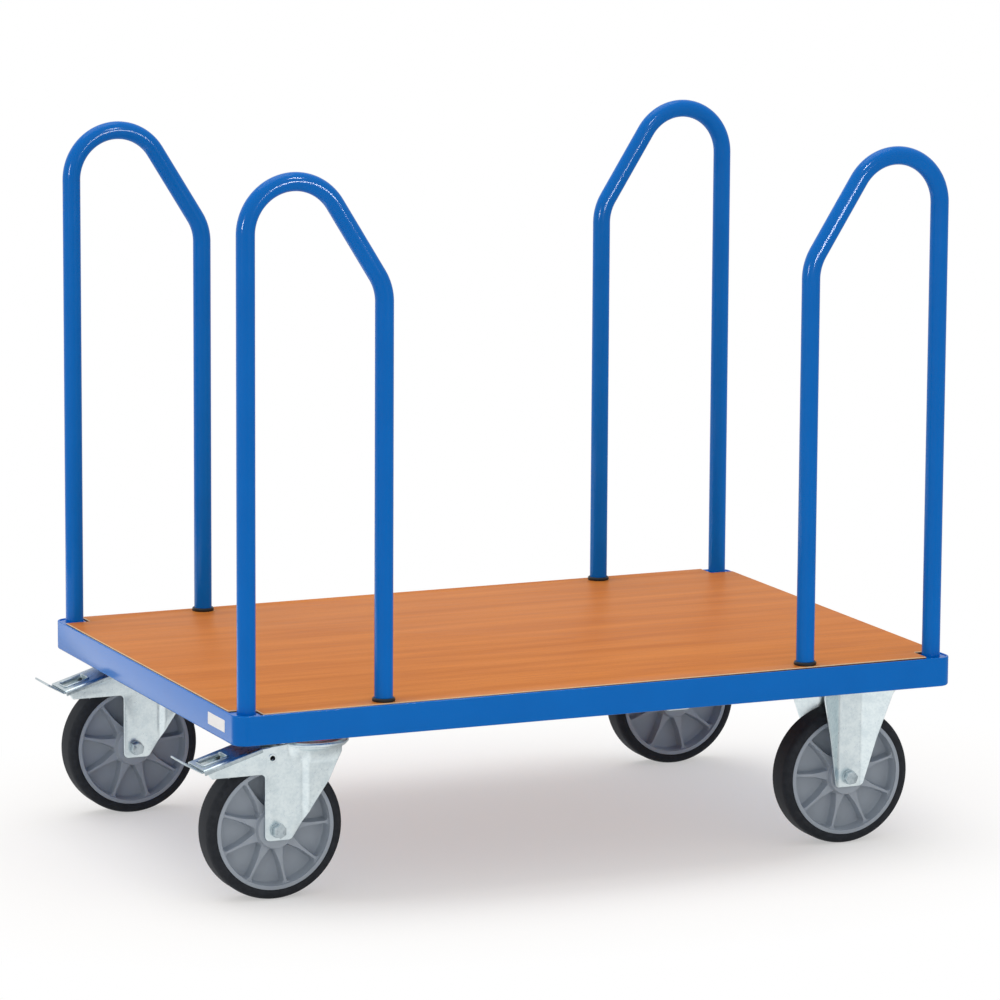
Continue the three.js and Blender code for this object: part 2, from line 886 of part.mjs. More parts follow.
// Leaf under the pedal, open under its slot, with the wider upturned tread ahead of the
// fork and the brake shoe below.
function brakeTread() {
  const radius = wheelRadius / Math.cos(Math.PI / wheelSides) + shoeGap;
  const arc = [-1, 0, 1].map((step) => {
    const angle = shoeAngle + (step * shoeArc) / 2;
    return [-radius * Math.sin(angle), wheelRadius + radius * Math.cos(angle)];
  });
  const [rear, , front] = arc;
  const shoe = outline([
    ...arc,
    [front[0], leafUnder(-front[0]) + seat],
    [rear[0], leafUnder(-rear[0]) + seat],
  ]);
  const body = join(
    prismY(treadSideView(leafBack), -leafWidth / 2, leafWidth / 2),
    prismY(treadSideView(noseReach + 2 * seat), -treadWidth / 2, treadWidth / 2),
    prismY(shoe, -shoeWidth / 2, shoeWidth / 2)
  );
  return cut(body, pedalSlot(seat));
}

function swivelCaster(prefix, turn) {
  return group(
    -trail,
    0,
    0,
    part(`${prefix}_fork`, swivelFork(), zincPlate),
    part(`${prefix}_brake_pedal`, brakePedal(), zincPlate),
    part(`${prefix}_brake_tread`, brakeTread(), zincPlate),
    wheel(prefix, turn),
    group(
      trail,
      0,
      0,
      part(`${prefix}_swivel_plate`, swivelPlate(), zincPlate),
      part(`${prefix}_seal_ring`, seal(), redSeal),
      part(`${prefix}_kingpin`, kingpin(), zincPlate)
    )
  );
}

// The whole trolley, about the middle of the frame

// Each side's name, direction and the turn of its left and right wheel, in degrees.
const sides = [
  ["front", -1, -8, 6],
  ["rear", 1, -3, -8],
];
const ends = [
  ["left", -1],
  ["right", 1],
];

const trolley = group(
  -middleX,
  0,
  0,
  part("deck_board", deckBoard(), beechBoard),
  group(kingpinX, 0, 0, part("left_bearer", casterBearer(), bluePaint)),
  group(fixedAxleX, 0, 0, part("right_bearer", casterBearer(), bluePaint)),
  part("middle_bearer", bearer(middleBearerWidth, []), bluePaint)
);

for (const [sideName, side, leftTurn, rightTurn] of sides) {
  const swivel = swivelCaster(`${sideName}_left`, THREE.MathUtils.degToRad(leftTurn));
  const fixed = fixedCaster(`${sideName}_right`, THREE.MathUtils.degToRad(rightTurn));
  trolley.add(
    part(`${sideName}_rail`, sideRail(side), bluePaint),
    group(kingpinX, side * casterY, 0, swivel),
    group(fixedAxleX, side * casterY, 0, fixed)
  );
}

for (const [endName, end] of ends) {
  trolley.add(part(`${endName}_rail`, endRail(end), bluePaint));
  for (const [sideName, side] of sides) {
    const corner = `${sideName}_${endName}`;
    trolley.add(
      part(`${corner}_corner_socket`, cornerSocket(end, side), bluePaint),
      group(end * legX, side * legY, 0, part(`${corner}_bow`, bow(-end), bluePaint)),
      group(
        end * innerLegX,
        side * legY,
        0,
        part(`${corner}_inner_socket`, innerSocket(), bluePaint),
        part(`${corner}_collar`, collar(), blackPlastic)
      )
    );
  }
}

export default trolley;
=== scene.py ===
# Platform trolley with four plug-in side bows: beech board in a blue steel frame,
# two braked swivel casters on the left and two fixed casters on the right.

import json
import math

import bmesh
import bpy
import numpy as np
from mathutils import Matrix, Vector
from mathutils.geometry import tessellate_polygon

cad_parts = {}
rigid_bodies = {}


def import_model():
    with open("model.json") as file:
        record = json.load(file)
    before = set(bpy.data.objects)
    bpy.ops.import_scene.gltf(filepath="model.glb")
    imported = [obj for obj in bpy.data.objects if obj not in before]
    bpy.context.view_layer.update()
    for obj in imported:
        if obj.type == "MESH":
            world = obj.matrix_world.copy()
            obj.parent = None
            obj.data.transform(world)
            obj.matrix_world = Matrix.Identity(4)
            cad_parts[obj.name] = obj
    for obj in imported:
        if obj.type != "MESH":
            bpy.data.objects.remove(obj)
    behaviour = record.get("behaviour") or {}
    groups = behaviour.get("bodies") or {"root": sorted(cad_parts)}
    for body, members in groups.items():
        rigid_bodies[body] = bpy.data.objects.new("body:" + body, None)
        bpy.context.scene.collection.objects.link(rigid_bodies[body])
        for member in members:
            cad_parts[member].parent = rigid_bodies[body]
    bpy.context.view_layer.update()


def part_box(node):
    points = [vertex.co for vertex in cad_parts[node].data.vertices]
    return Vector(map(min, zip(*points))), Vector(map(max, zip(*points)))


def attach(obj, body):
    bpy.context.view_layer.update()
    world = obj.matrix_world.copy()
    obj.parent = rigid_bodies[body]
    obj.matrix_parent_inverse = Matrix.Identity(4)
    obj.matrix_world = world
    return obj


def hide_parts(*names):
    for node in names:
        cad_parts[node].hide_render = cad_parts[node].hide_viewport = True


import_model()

mm = 0.001
scene = bpy.context.scene
sideNames = ("front", "rear")
endNames = ("left", "right")
cornerNames = [f"{side}_{end}" for side in sideNames for end in endNames]
noiseSpan = (0.3, 0.7)  # holds most of a noise's values
overrun = 5  # how far a cutting body runs past the piece that it cuts


# Middle of a CAD node's box, in millimetres
def middleOf(node):
    low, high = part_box(node)
    return (low + high) / 2 / mm


def topOf(node):
    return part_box(node)[1].z / mm


def linear(hexColour):
    channels = [int(hexColour[i:i + 2], 16) / 255 for i in (1, 3, 5)]
    return [c / 12.92 if c <= 0.04045 else ((c + 0.055) / 1.055) ** 2.4 for c in channels] + [1]


# Adds a node; an input is a plain value or the output socket of another node.
def addNode(tree, kind, inputs=None, **settings):
    node = tree.nodes.new(kind)
    for name, value in settings.items():
        setattr(node, name, value)
    for socket, value in (inputs or {}).items():
        if isinstance(value, bpy.types.NodeSocket):
            tree.links.new(value, node.inputs[socket])
        else:
            node.inputs[socket].default_value = value
    return node


# A material with its shader, and the object coordinates in millimetres for its patterns
def newMaterial(name, **shaderInputs):
    material = bpy.data.materials.new(name)
    material.use_nodes = True
    tree = material.node_tree
    shader = tree.nodes["Principled BSDF"]
    for socket, value in shaderInputs.items():
        shader.inputs[socket.replace("_", " ")].default_value = value
    place = addNode(tree, "ShaderNodeTexCoord").outputs["Object"]
    inMillimetres = addNode(tree, "ShaderNodeVectorMath", {0: place, "Scale": 1 / mm}, operation="SCALE")
    return material, tree, shader, inMillimetres.outputs[0]


# Noise whose largest grain has the given size in millimetres, stretched along an axis
def noiseOf(tree, place, size, detail=2.0, roughness=0.5, stretch=(1, 1, 1)):
    scaled = addNode(tree, "ShaderNodeMapping", {"Vector": place, "Scale": [1 / (size * s) for s in stretch]})
    noise = addNode(tree, "ShaderNodeTexNoise", {
        "Vector": scaled.outputs[0], "Scale": 1.0, "Detail": detail, "Roughness": roughness})
    return noise.outputs["Fac"]


def rangeOf(tree, value, fromLow, fromHigh, toLow, toHigh):
    limits = {"From Min": fromLow, "From Max": fromHigh, "To Min": toLow, "To Max": toHigh}
    return addNode(tree, "ShaderNodeMapRange", {"Value": value, **limits}).outputs[0]


# Mixes two colours, each a hex value or the output socket of another node
def mixColours(tree, factor, first, second):
    ends = [linear(end) if isinstance(end, str) else end for end in (first, second)]
    mix = addNode(tree, "ShaderNodeMix", {0: factor, 6: ends[0], 7: ends[1]}, data_type="RGBA")
    return mix.outputs[2]


def calculate(tree, operation, first, second, **settings):
    return addNode(tree, "ShaderNodeMath", {0: first, 1: second}, operation=operation, **settings).outputs[0]


def setBump(tree, shader, height, distance):
    bump = addNode(tree, "ShaderNodeBump", {"Height": height, "Distance": distance * mm, "Strength": 1.0})
    tree.links.new(bump.outputs[0], shader.inputs["Normal"])


# Links a shader's colour, and its roughness where that follows a noise between two values
def setSurface(tree, shader, colour, noise=None, roughness=None):
    tree.links.new(colour, shader.inputs["Base Color"])
    if roughness:
        tree.links.new(rangeOf(tree, noise, *noiseSpan, *roughness), shader.inputs["Roughness"])


# Beech plywood with a clear film: warm orange-brown, fine long grain and short ray flecks
def makeBeech():
    look = {"shades": ("#BF6D2B", "#D3813A"), "toneSpan": (0.75, 1.25), "roughness": (0.38, 0.5),
            "bump": 0.03, "wave": {"size": 26, "detail": 3, "stretch": (14, 1, 1)},
            "grain": {"size": 2.6, "detail": 4, "roughness": 0.6, "stretch": (34, 1, 1)},
            "fleck": {"size": 0.9, "stretch": (7, 1, 1)},
            "fleckColour": "#AC5E25", "fleckSpan": (0.62, 0.7), "fleckShare": 0.55}
    material, tree, shader, place = newMaterial("beech plywood", IOR=1.5, Specular_IOR_Level=0.05)
    wave, grain, fleck = [noiseOf(tree, place, **look[pattern]) for pattern in ("wave", "grain", "fleck")]
    tone = rangeOf(tree, calculate(tree, "ADD", wave, grain), *look["toneSpan"], 0, 1)
    share = rangeOf(tree, fleck, *look["fleckSpan"], 0, look["fleckShare"])
    colour = mixColours(tree, share, mixColours(tree, tone, *look["shades"]), look["fleckColour"])
    setSurface(tree, shader, colour, grain, look["roughness"])
    setBump(tree, shader, grain, look["bump"])
    return material


# Sawn plywood edge, sealed: dark brown with thin veneer layers
def makePlyEdge():
    look = {"shades": ("#4A2E20", "#7A4E33"), "veneer": 1.5, "waver": 1.2, "grit": 0.8, "bump": 0.05}
    material, tree, shader, place = newMaterial(
        "sealed plywood edge", Roughness=0.6, IOR=1.5, Specular_IOR_Level=0.2)
    layer = addNode(tree, "ShaderNodeTexWave", {
        "Vector": place, "Scale": 1 / (2 * look["veneer"]), "Distortion": look["waver"]}, bands_direction="Z")
    setSurface(tree, shader, mixColours(tree, layer.outputs["Fac"], *look["shades"]))
    setBump(tree, shader, noiseOf(tree, place, look["grit"]), look["bump"])
    return material


# Zinc-plated steel: satin metal with soft clouds and fine mottling between two shades
def makeZinc(name, dull, pale):
    look = {"cloud": 14, "mottle": 3.6, "detail": 3, "toneSpan": (0.8, 1.2), "roughness": (0.27, 0.33),
            "bump": 0.003}
    material, tree, shader, place = newMaterial(name, Metallic=1.0)
    cloud, mottle = [noiseOf(tree, place, look[grain], look["detail"]) for grain in ("cloud", "mottle")]
    tone = rangeOf(tree, calculate(tree, "ADD", cloud, mottle), *look["toneSpan"], 0, 1)
    setSurface(tree, shader, mixColours(tree, tone, dull, pale), mottle, look["roughness"])
    setBump(tree, shader, mottle, look["bump"])
    return material


# A material in two close shades that drift into each other, with a fine skin; sizes in millimetres.
# The span holds the noise's values between which the shade changes.
def makeTwoTone(name, first, second, cloud, skin, bump, detail=2.0, span=None, roughness=None, **inputs):
    material, tree, shader, place = newMaterial(name, **inputs)
    noise = noiseOf(tree, place, cloud, detail)
    share = rangeOf(tree, noise, *span, 0, 1) if span else noise
    setSurface(tree, shader, mixColours(tree, share, first, second), noise, roughness)
    setBump(tree, shader, noiseOf(tree, place, skin), bump)
    return material


# Powder-coated steel, baked gloss enamel: deep even blue, sharp lamp streaks, faint orange peel
bluePaint = makeTwoTone("powder-coated steel", "#0069C2", "#0070CC", cloud=60, skin=3.4, bump=0.0012,
                        roughness=(0.12, 0.17), IOR=1.5, Specular_IOR_Level=0.12)
beech = makeBeech()
plyEdge = makePlyEdge()
# Bright pressed sheet, and the greyer spring steel and bolts
zinc = makeZinc("bright zinc-plated steel", "#D6E2E6", "#E6F0F2")
greyZinc = makeZinc("passivated zinc-plated steel", "#AAB7BD", "#C2CDD2")
# Thermoplastic rubber, moulded and run in: charcoal, soft sheen, scuffed where it rolls
rubber = makeTwoTone("thermoplastic rubber", "#292C31", "#313439", cloud=9, skin=1.1, bump=0.03, detail=4,
                     span=(0.4, 0.65), roughness=(0.54, 0.66), IOR=1.5, Specular_IOR_Level=0.08)
# Planed arris of the beech: bare cut fibre, a thin cream line round the board's top; the paler cream on these
# upward-sloping faces is partly a painted highlight
beechArrisHighlight = makeTwoTone("planed beech", "#DDB98A", "#F0D9B4", cloud=3.0, skin=0.8, bump=0.03,
                         Roughness=0.6, IOR=1.5, Specular_IOR_Level=0.2)
# Polyamide, injection moulded: mid grey, satin, with a fine spark-eroded skin
greyPlastic = makeTwoTone("moulded polyamide", "#9AA4AF", "#A4AEB9", cloud=24, skin=0.8, bump=0.02,
                          Roughness=0.42, IOR=1.53, Specular_IOR_Level=0.3)
# Polyethylene, moulded: black and slightly waxy
blackPlastic = makeTwoTone("black polyethylene", "#131416", "#1E2023", cloud=6, skin=0.9, bump=0.02,
                           Roughness=0.4, IOR=1.51, Specular_IOR_Level=0.3)
# Polyurethane lip seal, moulded: clear red with a soft shine
redSeal = makeTwoTone("red polyurethane", "#CC2440", "#DA2F4C", cloud=8, skin=1.0, bump=0.02,
                      Roughness=0.35, IOR=1.5)
# PVC film, satin white: an almost even sheet with a faint bloom
whiteFilm = makeTwoTone("white vinyl film", "#F3F4F4", "#FBFBFA", cloud=12, skin=1.5, bump=0.01,
                        Roughness=0.38, IOR=1.53)
print("materials ready")


def newObject(name, mesh):
    made = bpy.data.objects.new(name, mesh)
    scene.collection.objects.link(made)
    return made


def objectFrom(name, bm):
    bmesh.ops.recalc_face_normals(bm, faces=bm.faces)
    mesh = bpy.data.meshes.new(name)
    bm.to_mesh(mesh)
    bm.free()
    return newObject(name, mesh)


# Outline from corners [across, up, fillet radius], with its arcs in small steps
def outline(corners, arcStep=9):
    points = []
    count = len(corners)
    for i, corner in enumerate(corners):
        here = Vector(corner[:2])
        radius = corner[2] if len(corner) > 2 else 0
        back = (Vector(corners[i - 1][:2]) - here).normalized()
        ahead = (Vector(corners[(i + 1) % count][:2]) - here).normalized()
        if radius == 0:
            points.append(here)
            continue
        half = back.angle(ahead) / 2
        start = here + back * (radius / math.tan(half))
        end = here + ahead * (radius / math.tan(half))
        centre = here + (back + ahead).normalized() * (radius / math.sin(half))
        first = math.atan2(*(start - centre).yx)
        sweep = math.remainder(math.atan2(*(end - centre).yx) - first, 2 * math.pi)
        steps = max(2, round(abs(math.degrees(sweep)) / arcStep))
        for k in range(steps + 1):
            angle = first + sweep * k / steps
            points.append(centre + radius * Vector((math.cos(angle), math.sin(angle))))
    return [tuple(p) for p in points]


def circle(radius, across=0.0, up=0.0, sides=48, clockwise=False):
    turn = -1 if clockwise else 1
    angles = [turn * 2 * math.pi * i / sides for i in range(sides)]
    return [(across + radius * math.cos(a), up + radius * math.sin(a)) for a in angles]


# Corners of a rectangle, anticlockwise, each with its fillet where one is given
def rectangle(left, right, low, high, *fillet):
    return [[left, low, *fillet], [right, low, *fillet], [right, high, *fillet], [left, high, *fillet]]


# Two distances from the middle on the given hand, -1 or 1, in rising order
def spanOf(hand, first, second):
    return sorted([hand * first, hand * second])


# Moves an anticlockwise outline inwards; a clockwise hole grows instead.
def inset(points, distance):
    p = np.asarray(points, float)
    ahead = np.roll(p, -1, 0) - p
    ahead /= np.linalg.norm(ahead, axis=1)[:, None]
    normal = np.column_stack([-ahead[:, 1], ahead[:, 0]])
    behind = np.roll(normal, 1, 0)
    return p + distance * (normal + behind) / (1 + (normal * behind).sum(1))[:, None]


# Levels (height, inset) of a sheet with rounded edges
def roundedLevels(low, high, edge, steps=3):
    turns = [math.pi / 2 * i / steps for i in range(steps + 1)]
    start = [(low + edge * (1 - math.cos(t)), edge * (1 - math.sin(t))) for t in turns]
    end = [(high - edge * (1 - math.cos(t)), edge * (1 - math.sin(t))) for t in reversed(turns)]
    return start + end


# Point from the outline's two axes and the height over it
def onAxis(axis, across, up, height):
    return {"X": (height, across, up), "Y": (across, height, up), "Z": (across, up, height)}[axis]


# Solid through an outline, with its holes, at several levels
def loft(name, outlines, levels, axis="Z"):
    bm = bmesh.new()
    loops = []
    for points in outlines:
        loops.append([
            [bm.verts.new(Vector(onAxis(axis, a, b, height)) * mm) for a, b in inset(points, distance)]
            for height, distance in levels])
    for rings in loops:
        for lower, upper in zip(rings, rings[1:]):
            for i in range(len(lower)):
                j = (i + 1) % len(lower)
                bm.faces.new((lower[i], lower[j], upper[j], upper[i]))
    for level in (0, -1):
        ends = [rings[level] for rings in loops]
        verts = [v for ring in ends for v in ring]
        for triangle in tessellate_polygon([[v.co for v in ring] for ring in ends]):
            bm.faces.new([verts[i] for i in triangle])
    return objectFrom(name, bm)


# Solid turned about an axis from a closed profile of (radius, height)
def turned(name, profile, steps=96, axis="Z"):
    bm = bmesh.new()
    rings = []
    for radius, height in profile:
        angles = [2 * math.pi * i / steps for i in range(steps if radius > 1e-6 else 1)]
        rings.append([
            bm.verts.new(Vector(onAxis(axis, radius * math.cos(a), radius * math.sin(a), height)) * mm)
            for a in angles])
    for first, second in zip(rings, rings[1:] + rings[:1]):
        for i in range(steps):
            loop = [first[i % len(first)], first[(i + 1) % len(first)],
                    second[(i + 1) % len(second)], second[i % len(second)]]
            corners = list(dict.fromkeys(loop))
            if len(corners) > 2:
                bm.faces.new(corners)
    return objectFrom(name, bm)


def evaluated(target):
    bpy.context.view_layer.update()
    depsgraph = bpy.context.evaluated_depsgraph_get()
    return bpy.data.meshes.new_from_object(target.evaluated_get(depsgraph))


# Joins or cuts a solid with others, which are used up
def combine(target, tools, operation):
    for tool in tools:
        modifier = target.modifiers.new(tool.name, "BOOLEAN")
        modifier.operation = operation
        modifier.solver = "EXACT"
        modifier.object = tool
    mesh = evaluated(target)
    target.modifiers.clear()
    target.data = mesh
    for tool in tools:
        bpy.data.objects.remove(tool)
    return target


def joined(target, *tools):
    return combine(target, tools, "UNION")


def cut(target, *tools):
    return combine(target, tools, "DIFFERENCE")


# Cuts a sheet at stations along x and z, and moves its points across by a rule
def bent(target, alongX, alongZ, rule):
    bm = bmesh.new()
    bm.from_mesh(target.data)
    for axis, stations in (((1, 0, 0), alongX), ((0, 0, 1), alongZ)):
        for station in stations:
            everything = bm.verts[:] + bm.edges[:] + bm.faces[:]
            bmesh.ops.bisect_plane(bm, geom=everything, dist=1e-7,
                                   plane_co=Vector(axis) * station * mm, plane_no=axis)
    for vert in bm.verts:
        x, y, z = vert.co / mm
        vert.co.y = (y + math.copysign(rule(x, z), y)) * mm
    bm.to_mesh(target.data)
    bm.free()
    return target


# Puts a finished shape in its place on its body, for the CAD nodes that it stands for.
def finishPiece(source, name, body, material, replaced=(), offset=(0, 0, 0), sharp=32):
    mesh = source.data.copy()
    mesh.name = name
    mesh.transform(Matrix.Translation(Vector(offset) * mm))
    mesh.materials.clear()
    for finish in material if isinstance(material, list) else [material]:
        mesh.materials.append(finish)
    mesh.shade_smooth()
    mesh.set_sharp_from_angle(angle=math.radians(sharp))
    piece = newObject(name, mesh)
    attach(piece, body)
    if replaced:
        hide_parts(*replaced)
    return piece


def discard(*used):
    for item in used:
        bpy.data.objects.remove(item)


# A geometry tree with the given inputs (name, kind of socket, default), and what its input node gives
def newTree(name, inputs):
    tree = bpy.data.node_groups.new(name, "GeometryNodeTree")
    tree.interface.new_socket("Geometry", in_out="INPUT", socket_type="NodeSocketGeometry")
    for label, kind, default in inputs:
        socket = tree.interface.new_socket(label, in_out="INPUT", socket_type=f"NodeSocket{kind}")
        if default is not None:
            socket.default_value = default
    tree.interface.new_socket("Geometry", in_out="OUTPUT", socket_type="NodeSocketGeometry")
    return tree, addNode(tree, "NodeGroupInput").outputs


def madeReal(tree, geometry):
    return addNode(tree, "GeometryNodeRealizeInstances", {"Geometry": geometry}).outputs[0]


# Ends a tree: instances made real, smooth faces and the finish
def endTree(tree, geometry, finish):
    smooth = addNode(tree, "GeometryNodeSetShadeSmooth", {0: madeReal(tree, geometry)})
    painted = addNode(tree, "GeometryNodeSetMaterial", {"Geometry": smooth.outputs[0], "Material": finish})
    addNode(tree, "NodeGroupOutput", {0: painted.outputs[0]})


# Runs a tree on an object with the given inputs and keeps the result as its mesh
def runTree(target, tree, values):
    modifier = target.modifiers.new(tree.name, "NODES")
    modifier.node_group = tree
    for item in tree.interface.items_tree:
        if item.in_out == "INPUT" and item.name in values:
            modifier[item.identifier] = values[item.name]
    mesh = evaluated(target)
    bpy.data.objects.remove(target)
    return newObject(tree.name, mesh)


# Round bar along a path
def makeTubeTree():
    tree, given = newTree("tube on a path", [("Radius", "Float", 0.013), ("Sides", "Int", 48)])
    ring = addNode(tree, "GeometryNodeCurvePrimitiveCircle", {
        "Radius": given["Radius"], "Resolution": given["Sides"]})
    tube = addNode(tree, "GeometryNodeCurveToMesh", {
        "Curve": given["Geometry"], "Profile Curve": ring.outputs["Curve"], "Fill Caps": True})
    endTree(tree, tube.outputs[0], bluePaint)
    return tree


# Equal pockets cut into a disc round its axle, which is Y
def makePocketTree():
    tree, given = newTree("pockets round a hub", [
        ("Pocket", "Object", None), ("Count", "Int", 9), ("Turn", "Float", 0.0)])
    pocket = addNode(tree, "GeometryNodeObjectInfo", {"Object": given["Pocket"]})
    points = addNode(tree, "GeometryNodePoints", {"Count": given["Count"]})
    index = addNode(tree, "GeometryNodeInputIndex").outputs[0]
    pitch = calculate(tree, "DIVIDE", -2 * math.pi, given["Count"])
    angle = calculate(tree, "SUBTRACT", calculate(tree, "MULTIPLY", pitch, index), given["Turn"])
    rotation = addNode(tree, "ShaderNodeCombineXYZ", {"Y": angle})
    spread = addNode(tree, "GeometryNodeInstanceOnPoints", {
        "Points": points.outputs[0], "Instance": pocket.outputs["Geometry"], "Rotation": rotation.outputs[0]})
    tools = madeReal(tree, spread.outputs[0])
    left = addNode(tree, "GeometryNodeMeshBoolean", {0: given["Geometry"], 1: tools},
                   operation="DIFFERENCE", solver="EXACT")
    endTree(tree, left.outputs["Mesh"], greyPlastic)
    return tree


# A fastener at each corner of a plate's hole pattern; the given points are the plates' middles
def makeFastenerTree():
    tree, given = newTree("plate fasteners", [
        ("Fastener", "Object", None), ("Spacing X", "Float", 0.105), ("Spacing Y", "Float", 0.08)])
    grid = addNode(tree, "GeometryNodeMeshGrid", {
        "Size X": given["Spacing X"], "Size Y": given["Spacing Y"], "Vertices X": 2, "Vertices Y": 2})
    plates = addNode(tree, "GeometryNodeInstanceOnPoints", {
        "Points": given["Geometry"], "Instance": grid.outputs["Mesh"]})
    fastener = addNode(tree, "GeometryNodeObjectInfo", {"Object": given["Fastener"]})
    spread = addNode(tree, "GeometryNodeInstanceOnPoints", {
        "Points": madeReal(tree, plates.outputs[0]), "Instance": fastener.outputs["Geometry"]})
    endTree(tree, spread.outputs[0], zinc)
    return tree


# Levels are pairs of a height and how far the outline moves inwards there.
steel = {
    "wall": 3, "flange": 40, "ledge": 28, "cornerRadius": 20, "fold": 3, "rimEdge": 0.9, "seam": 1,
    "cornerSize": 40, "cornerPlate": 4, "plateDrop": 1.2, "plateFillet": 3, "edge": 0.5,
    "socket": 15.6, "socketDrop": 0.5, "bore": 13.5, "boreChamfer": 0.6, "ledgeEdge": 0.4, "ledgeCut": 3,
    "floorLevels": [(0, 1.0), (0.3, 0.3), (1, 0)], "floorCut": 1.5, "gap": 0.3,
    "rimLevels": [(-0.6, 0), (-0.2, -0.15), (0, -0.5), (5, -0.5)],
    "bearerWall": 3, "bearerFold": 4, "casterBearer": 150, "middleBearer": 60,
    "boardThickness": 12, "boardClearance": 0.3, "legSpacing": 202,
}
frameLow = Vector([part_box("front_left_corner_socket")[0][i] / mm for i in range(3)])
frameHigh = Vector([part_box("rear_right_corner_socket")[1][i] / mm for i in range(3)])
deckTop = topOf("deck_board")
ledgeTop = deckTop - steel["boardThickness"] - steel["boardClearance"]
legPlaces = {corner: middleOf(f"{corner}_collar") for corner in cornerNames}


# Rectangle inside the frame's outer faces, anticlockwise
def frameOutline(inwards, radius=0.0):
    return outline(rectangle(frameLow.x + inwards, frameHigh.x - inwards,
                             frameLow.y + inwards, frameHigh.y - inwards, radius))


# Signs of a corner along x and y, and the frame's outer faces there
def cornerAt(corner):
    end = 1 if corner.endswith("right") else -1
    side = 1 if corner.startswith("rear") else -1
    return end, side, (frameHigh if end > 0 else frameLow).x, (frameHigh if side > 0 else frameLow).y


# Axis of a bow's outer leg
def outerLeg(corner):
    inner = legPlaces[corner]
    return Vector((inner.x + cornerAt(corner)[0] * steel["legSpacing"], inner.y, 0))


def makeFrame():
    wall, size, seam, edge = steel["wall"], steel["cornerSize"], steel["seam"], steel["edge"]
    radius, socket, chamfer = steel["cornerRadius"], steel["socket"], steel["boreChamfer"]
    low, high = frameLow.z, frameHigh.z
    plateTop, ledgeLow = high - steel["plateDrop"], ledgeTop - wall
    fold, rim = [roundedLevels(low, high, steel[name]) for name in ("fold", "rimEdge")]
    half = len(fold) // 2
    body = loft("frame", [frameOutline(0, radius)], fold[:half] + rim[half:])
    inside = [(low + wall + up, inwards) for up, inwards in steel["floorLevels"]]
    inside += [(high + up, inwards) for up, inwards in steel["rimLevels"]]
    hollow = loft("hollow", [frameOutline(wall, radius - wall)], inside)
    opening = loft("opening", [frameOutline(steel["flange"])],
                   [(low - overrun, 0), (low + wall + steel["floorCut"], 0)])
    cut(body, hollow, opening)
    extras, bores = [], []
    for corner in cornerNames:
        end, side, outerX, outerY = cornerAt(corner)
        nearX, nearY = outerX - end * seam, outerY - side * seam
        farX, farY = outerX - end * size, outerY - side * size
        plate = outline([[nearX, nearY, radius - seam], [farX, nearY], [farX, farY, steel["plateFillet"]],
                         [nearX, farY]])
        if end * side < 0:
            plate.reverse()
        extras.append(loft("plate", [plate], roundedLevels(plateTop - steel["cornerPlate"], plateTop, edge)))
        leg, inner = outerLeg(corner), legPlaces[corner]
        levels = roundedLevels(low + seam, plateTop - steel["socketDrop"], edge)
        extras.append(loft("socket", [circle(socket, leg.x, leg.y)], levels))
        levels = [(low + wall, 0), (plateTop - chamfer, 0), (plateTop, -chamfer), (high + overrun, -chamfer)]
        bores.append(loft("bore", [circle(steel["bore"], leg.x, leg.y)], levels))
        levels = [(ledgeLow - steel["ledgeCut"], 0), (ledgeTop + steel["ledgeCut"], 0)]
        bores.append(loft("bore", [circle(socket, inner.x, inner.y)], levels))
    run = size + seam
    for side, outer in ((-1, frameLow), (1, frameHigh)):
        xs, ys = [sorted([face - side * seam, face - side * steel["ledge"]]) for face in (outer.x, outer.y)]
        for strip in (rectangle(frameLow.x + run, frameHigh.x - run, *ys),
                      rectangle(*xs, frameLow.y + run, frameHigh.y - run)):
            extras.append(loft("ledge", [strip], roundedLevels(ledgeLow, ledgeTop, steel["ledgeEdge"])))
    joined(body, *extras)
    cut(body, *bores)
    nodes = [f"{name}_rail" for name in sideNames + endNames] + [f"{c}_corner_socket" for c in cornerNames]
    finishPiece(body, "frame.folded", "platform", bluePaint, nodes)
    discard(body)


def makeCrossMembers():
    low, wall, fold, edge = frameLow.z, steel["bearerWall"], steel["bearerFold"], steel["edge"]
    run = frameHigh.y - steel["flange"] - steel["gap"]
    widths = {"left_bearer": steel["casterBearer"], "right_bearer": steel["casterBearer"],
              "middle_bearer": steel["middleBearer"]}
    members = []
    for node, width in widths.items():
        left, right = middleOf(node).x - width / 2, middleOf(node).x + width / 2
        section = outline([
            [left, ledgeTop], [left, low, fold], [right, low, fold], [right, ledgeTop],
            [right - wall, ledgeTop], [right - wall, low + wall, fold - wall],
            [left + wall, low + wall, fold - wall], [left + wall, ledgeTop]])
        members.append(loft(node, [section], roundedLevels(-run, run, edge), "Y"))
    for leg in legPlaces.values():
        tube = [circle(steel["socket"], leg.x, leg.y), circle(steel["bore"], leg.x, leg.y, clockwise=True)]
        members.append(loft("socket", tube, roundedLevels(low + wall + steel["gap"], ledgeTop, edge)))
    body = members[0]
    joined(body, *members[1:])
    nodes = list(widths) + [f"{corner}_inner_socket" for corner in cornerNames]
    finishPiece(body, "frame.members", "platform", bluePaint, nodes)
    discard(body)


# Blank plate near the front corner of the left end rail
def makeLabel():
    label = {"length": 64, "height": 17, "thickness": 0.5, "sunk": 0.2, "fromFront": 75, "fromBelow": 21.2,
             "round": 1.2, "edge": 0.15}
    y, z = frameLow.y + label["fromFront"], frameLow.z + label["fromBelow"]
    half, rise = label["length"] / 2, label["height"] / 2
    levels = roundedLevels(frameLow.x - label["thickness"], frameLow.x + label["sunk"], label["edge"])
    corners = rectangle(y - half, y + half, z - rise, z + rise, label["round"])
    plate = loft("label", [outline(corners)], levels, "X")
    finishPiece(plate, "label.blank", "platform", whiteFilm)
    discard(plate)


makeFrame()
makeCrossMembers()
makeLabel()
print("frame ready")


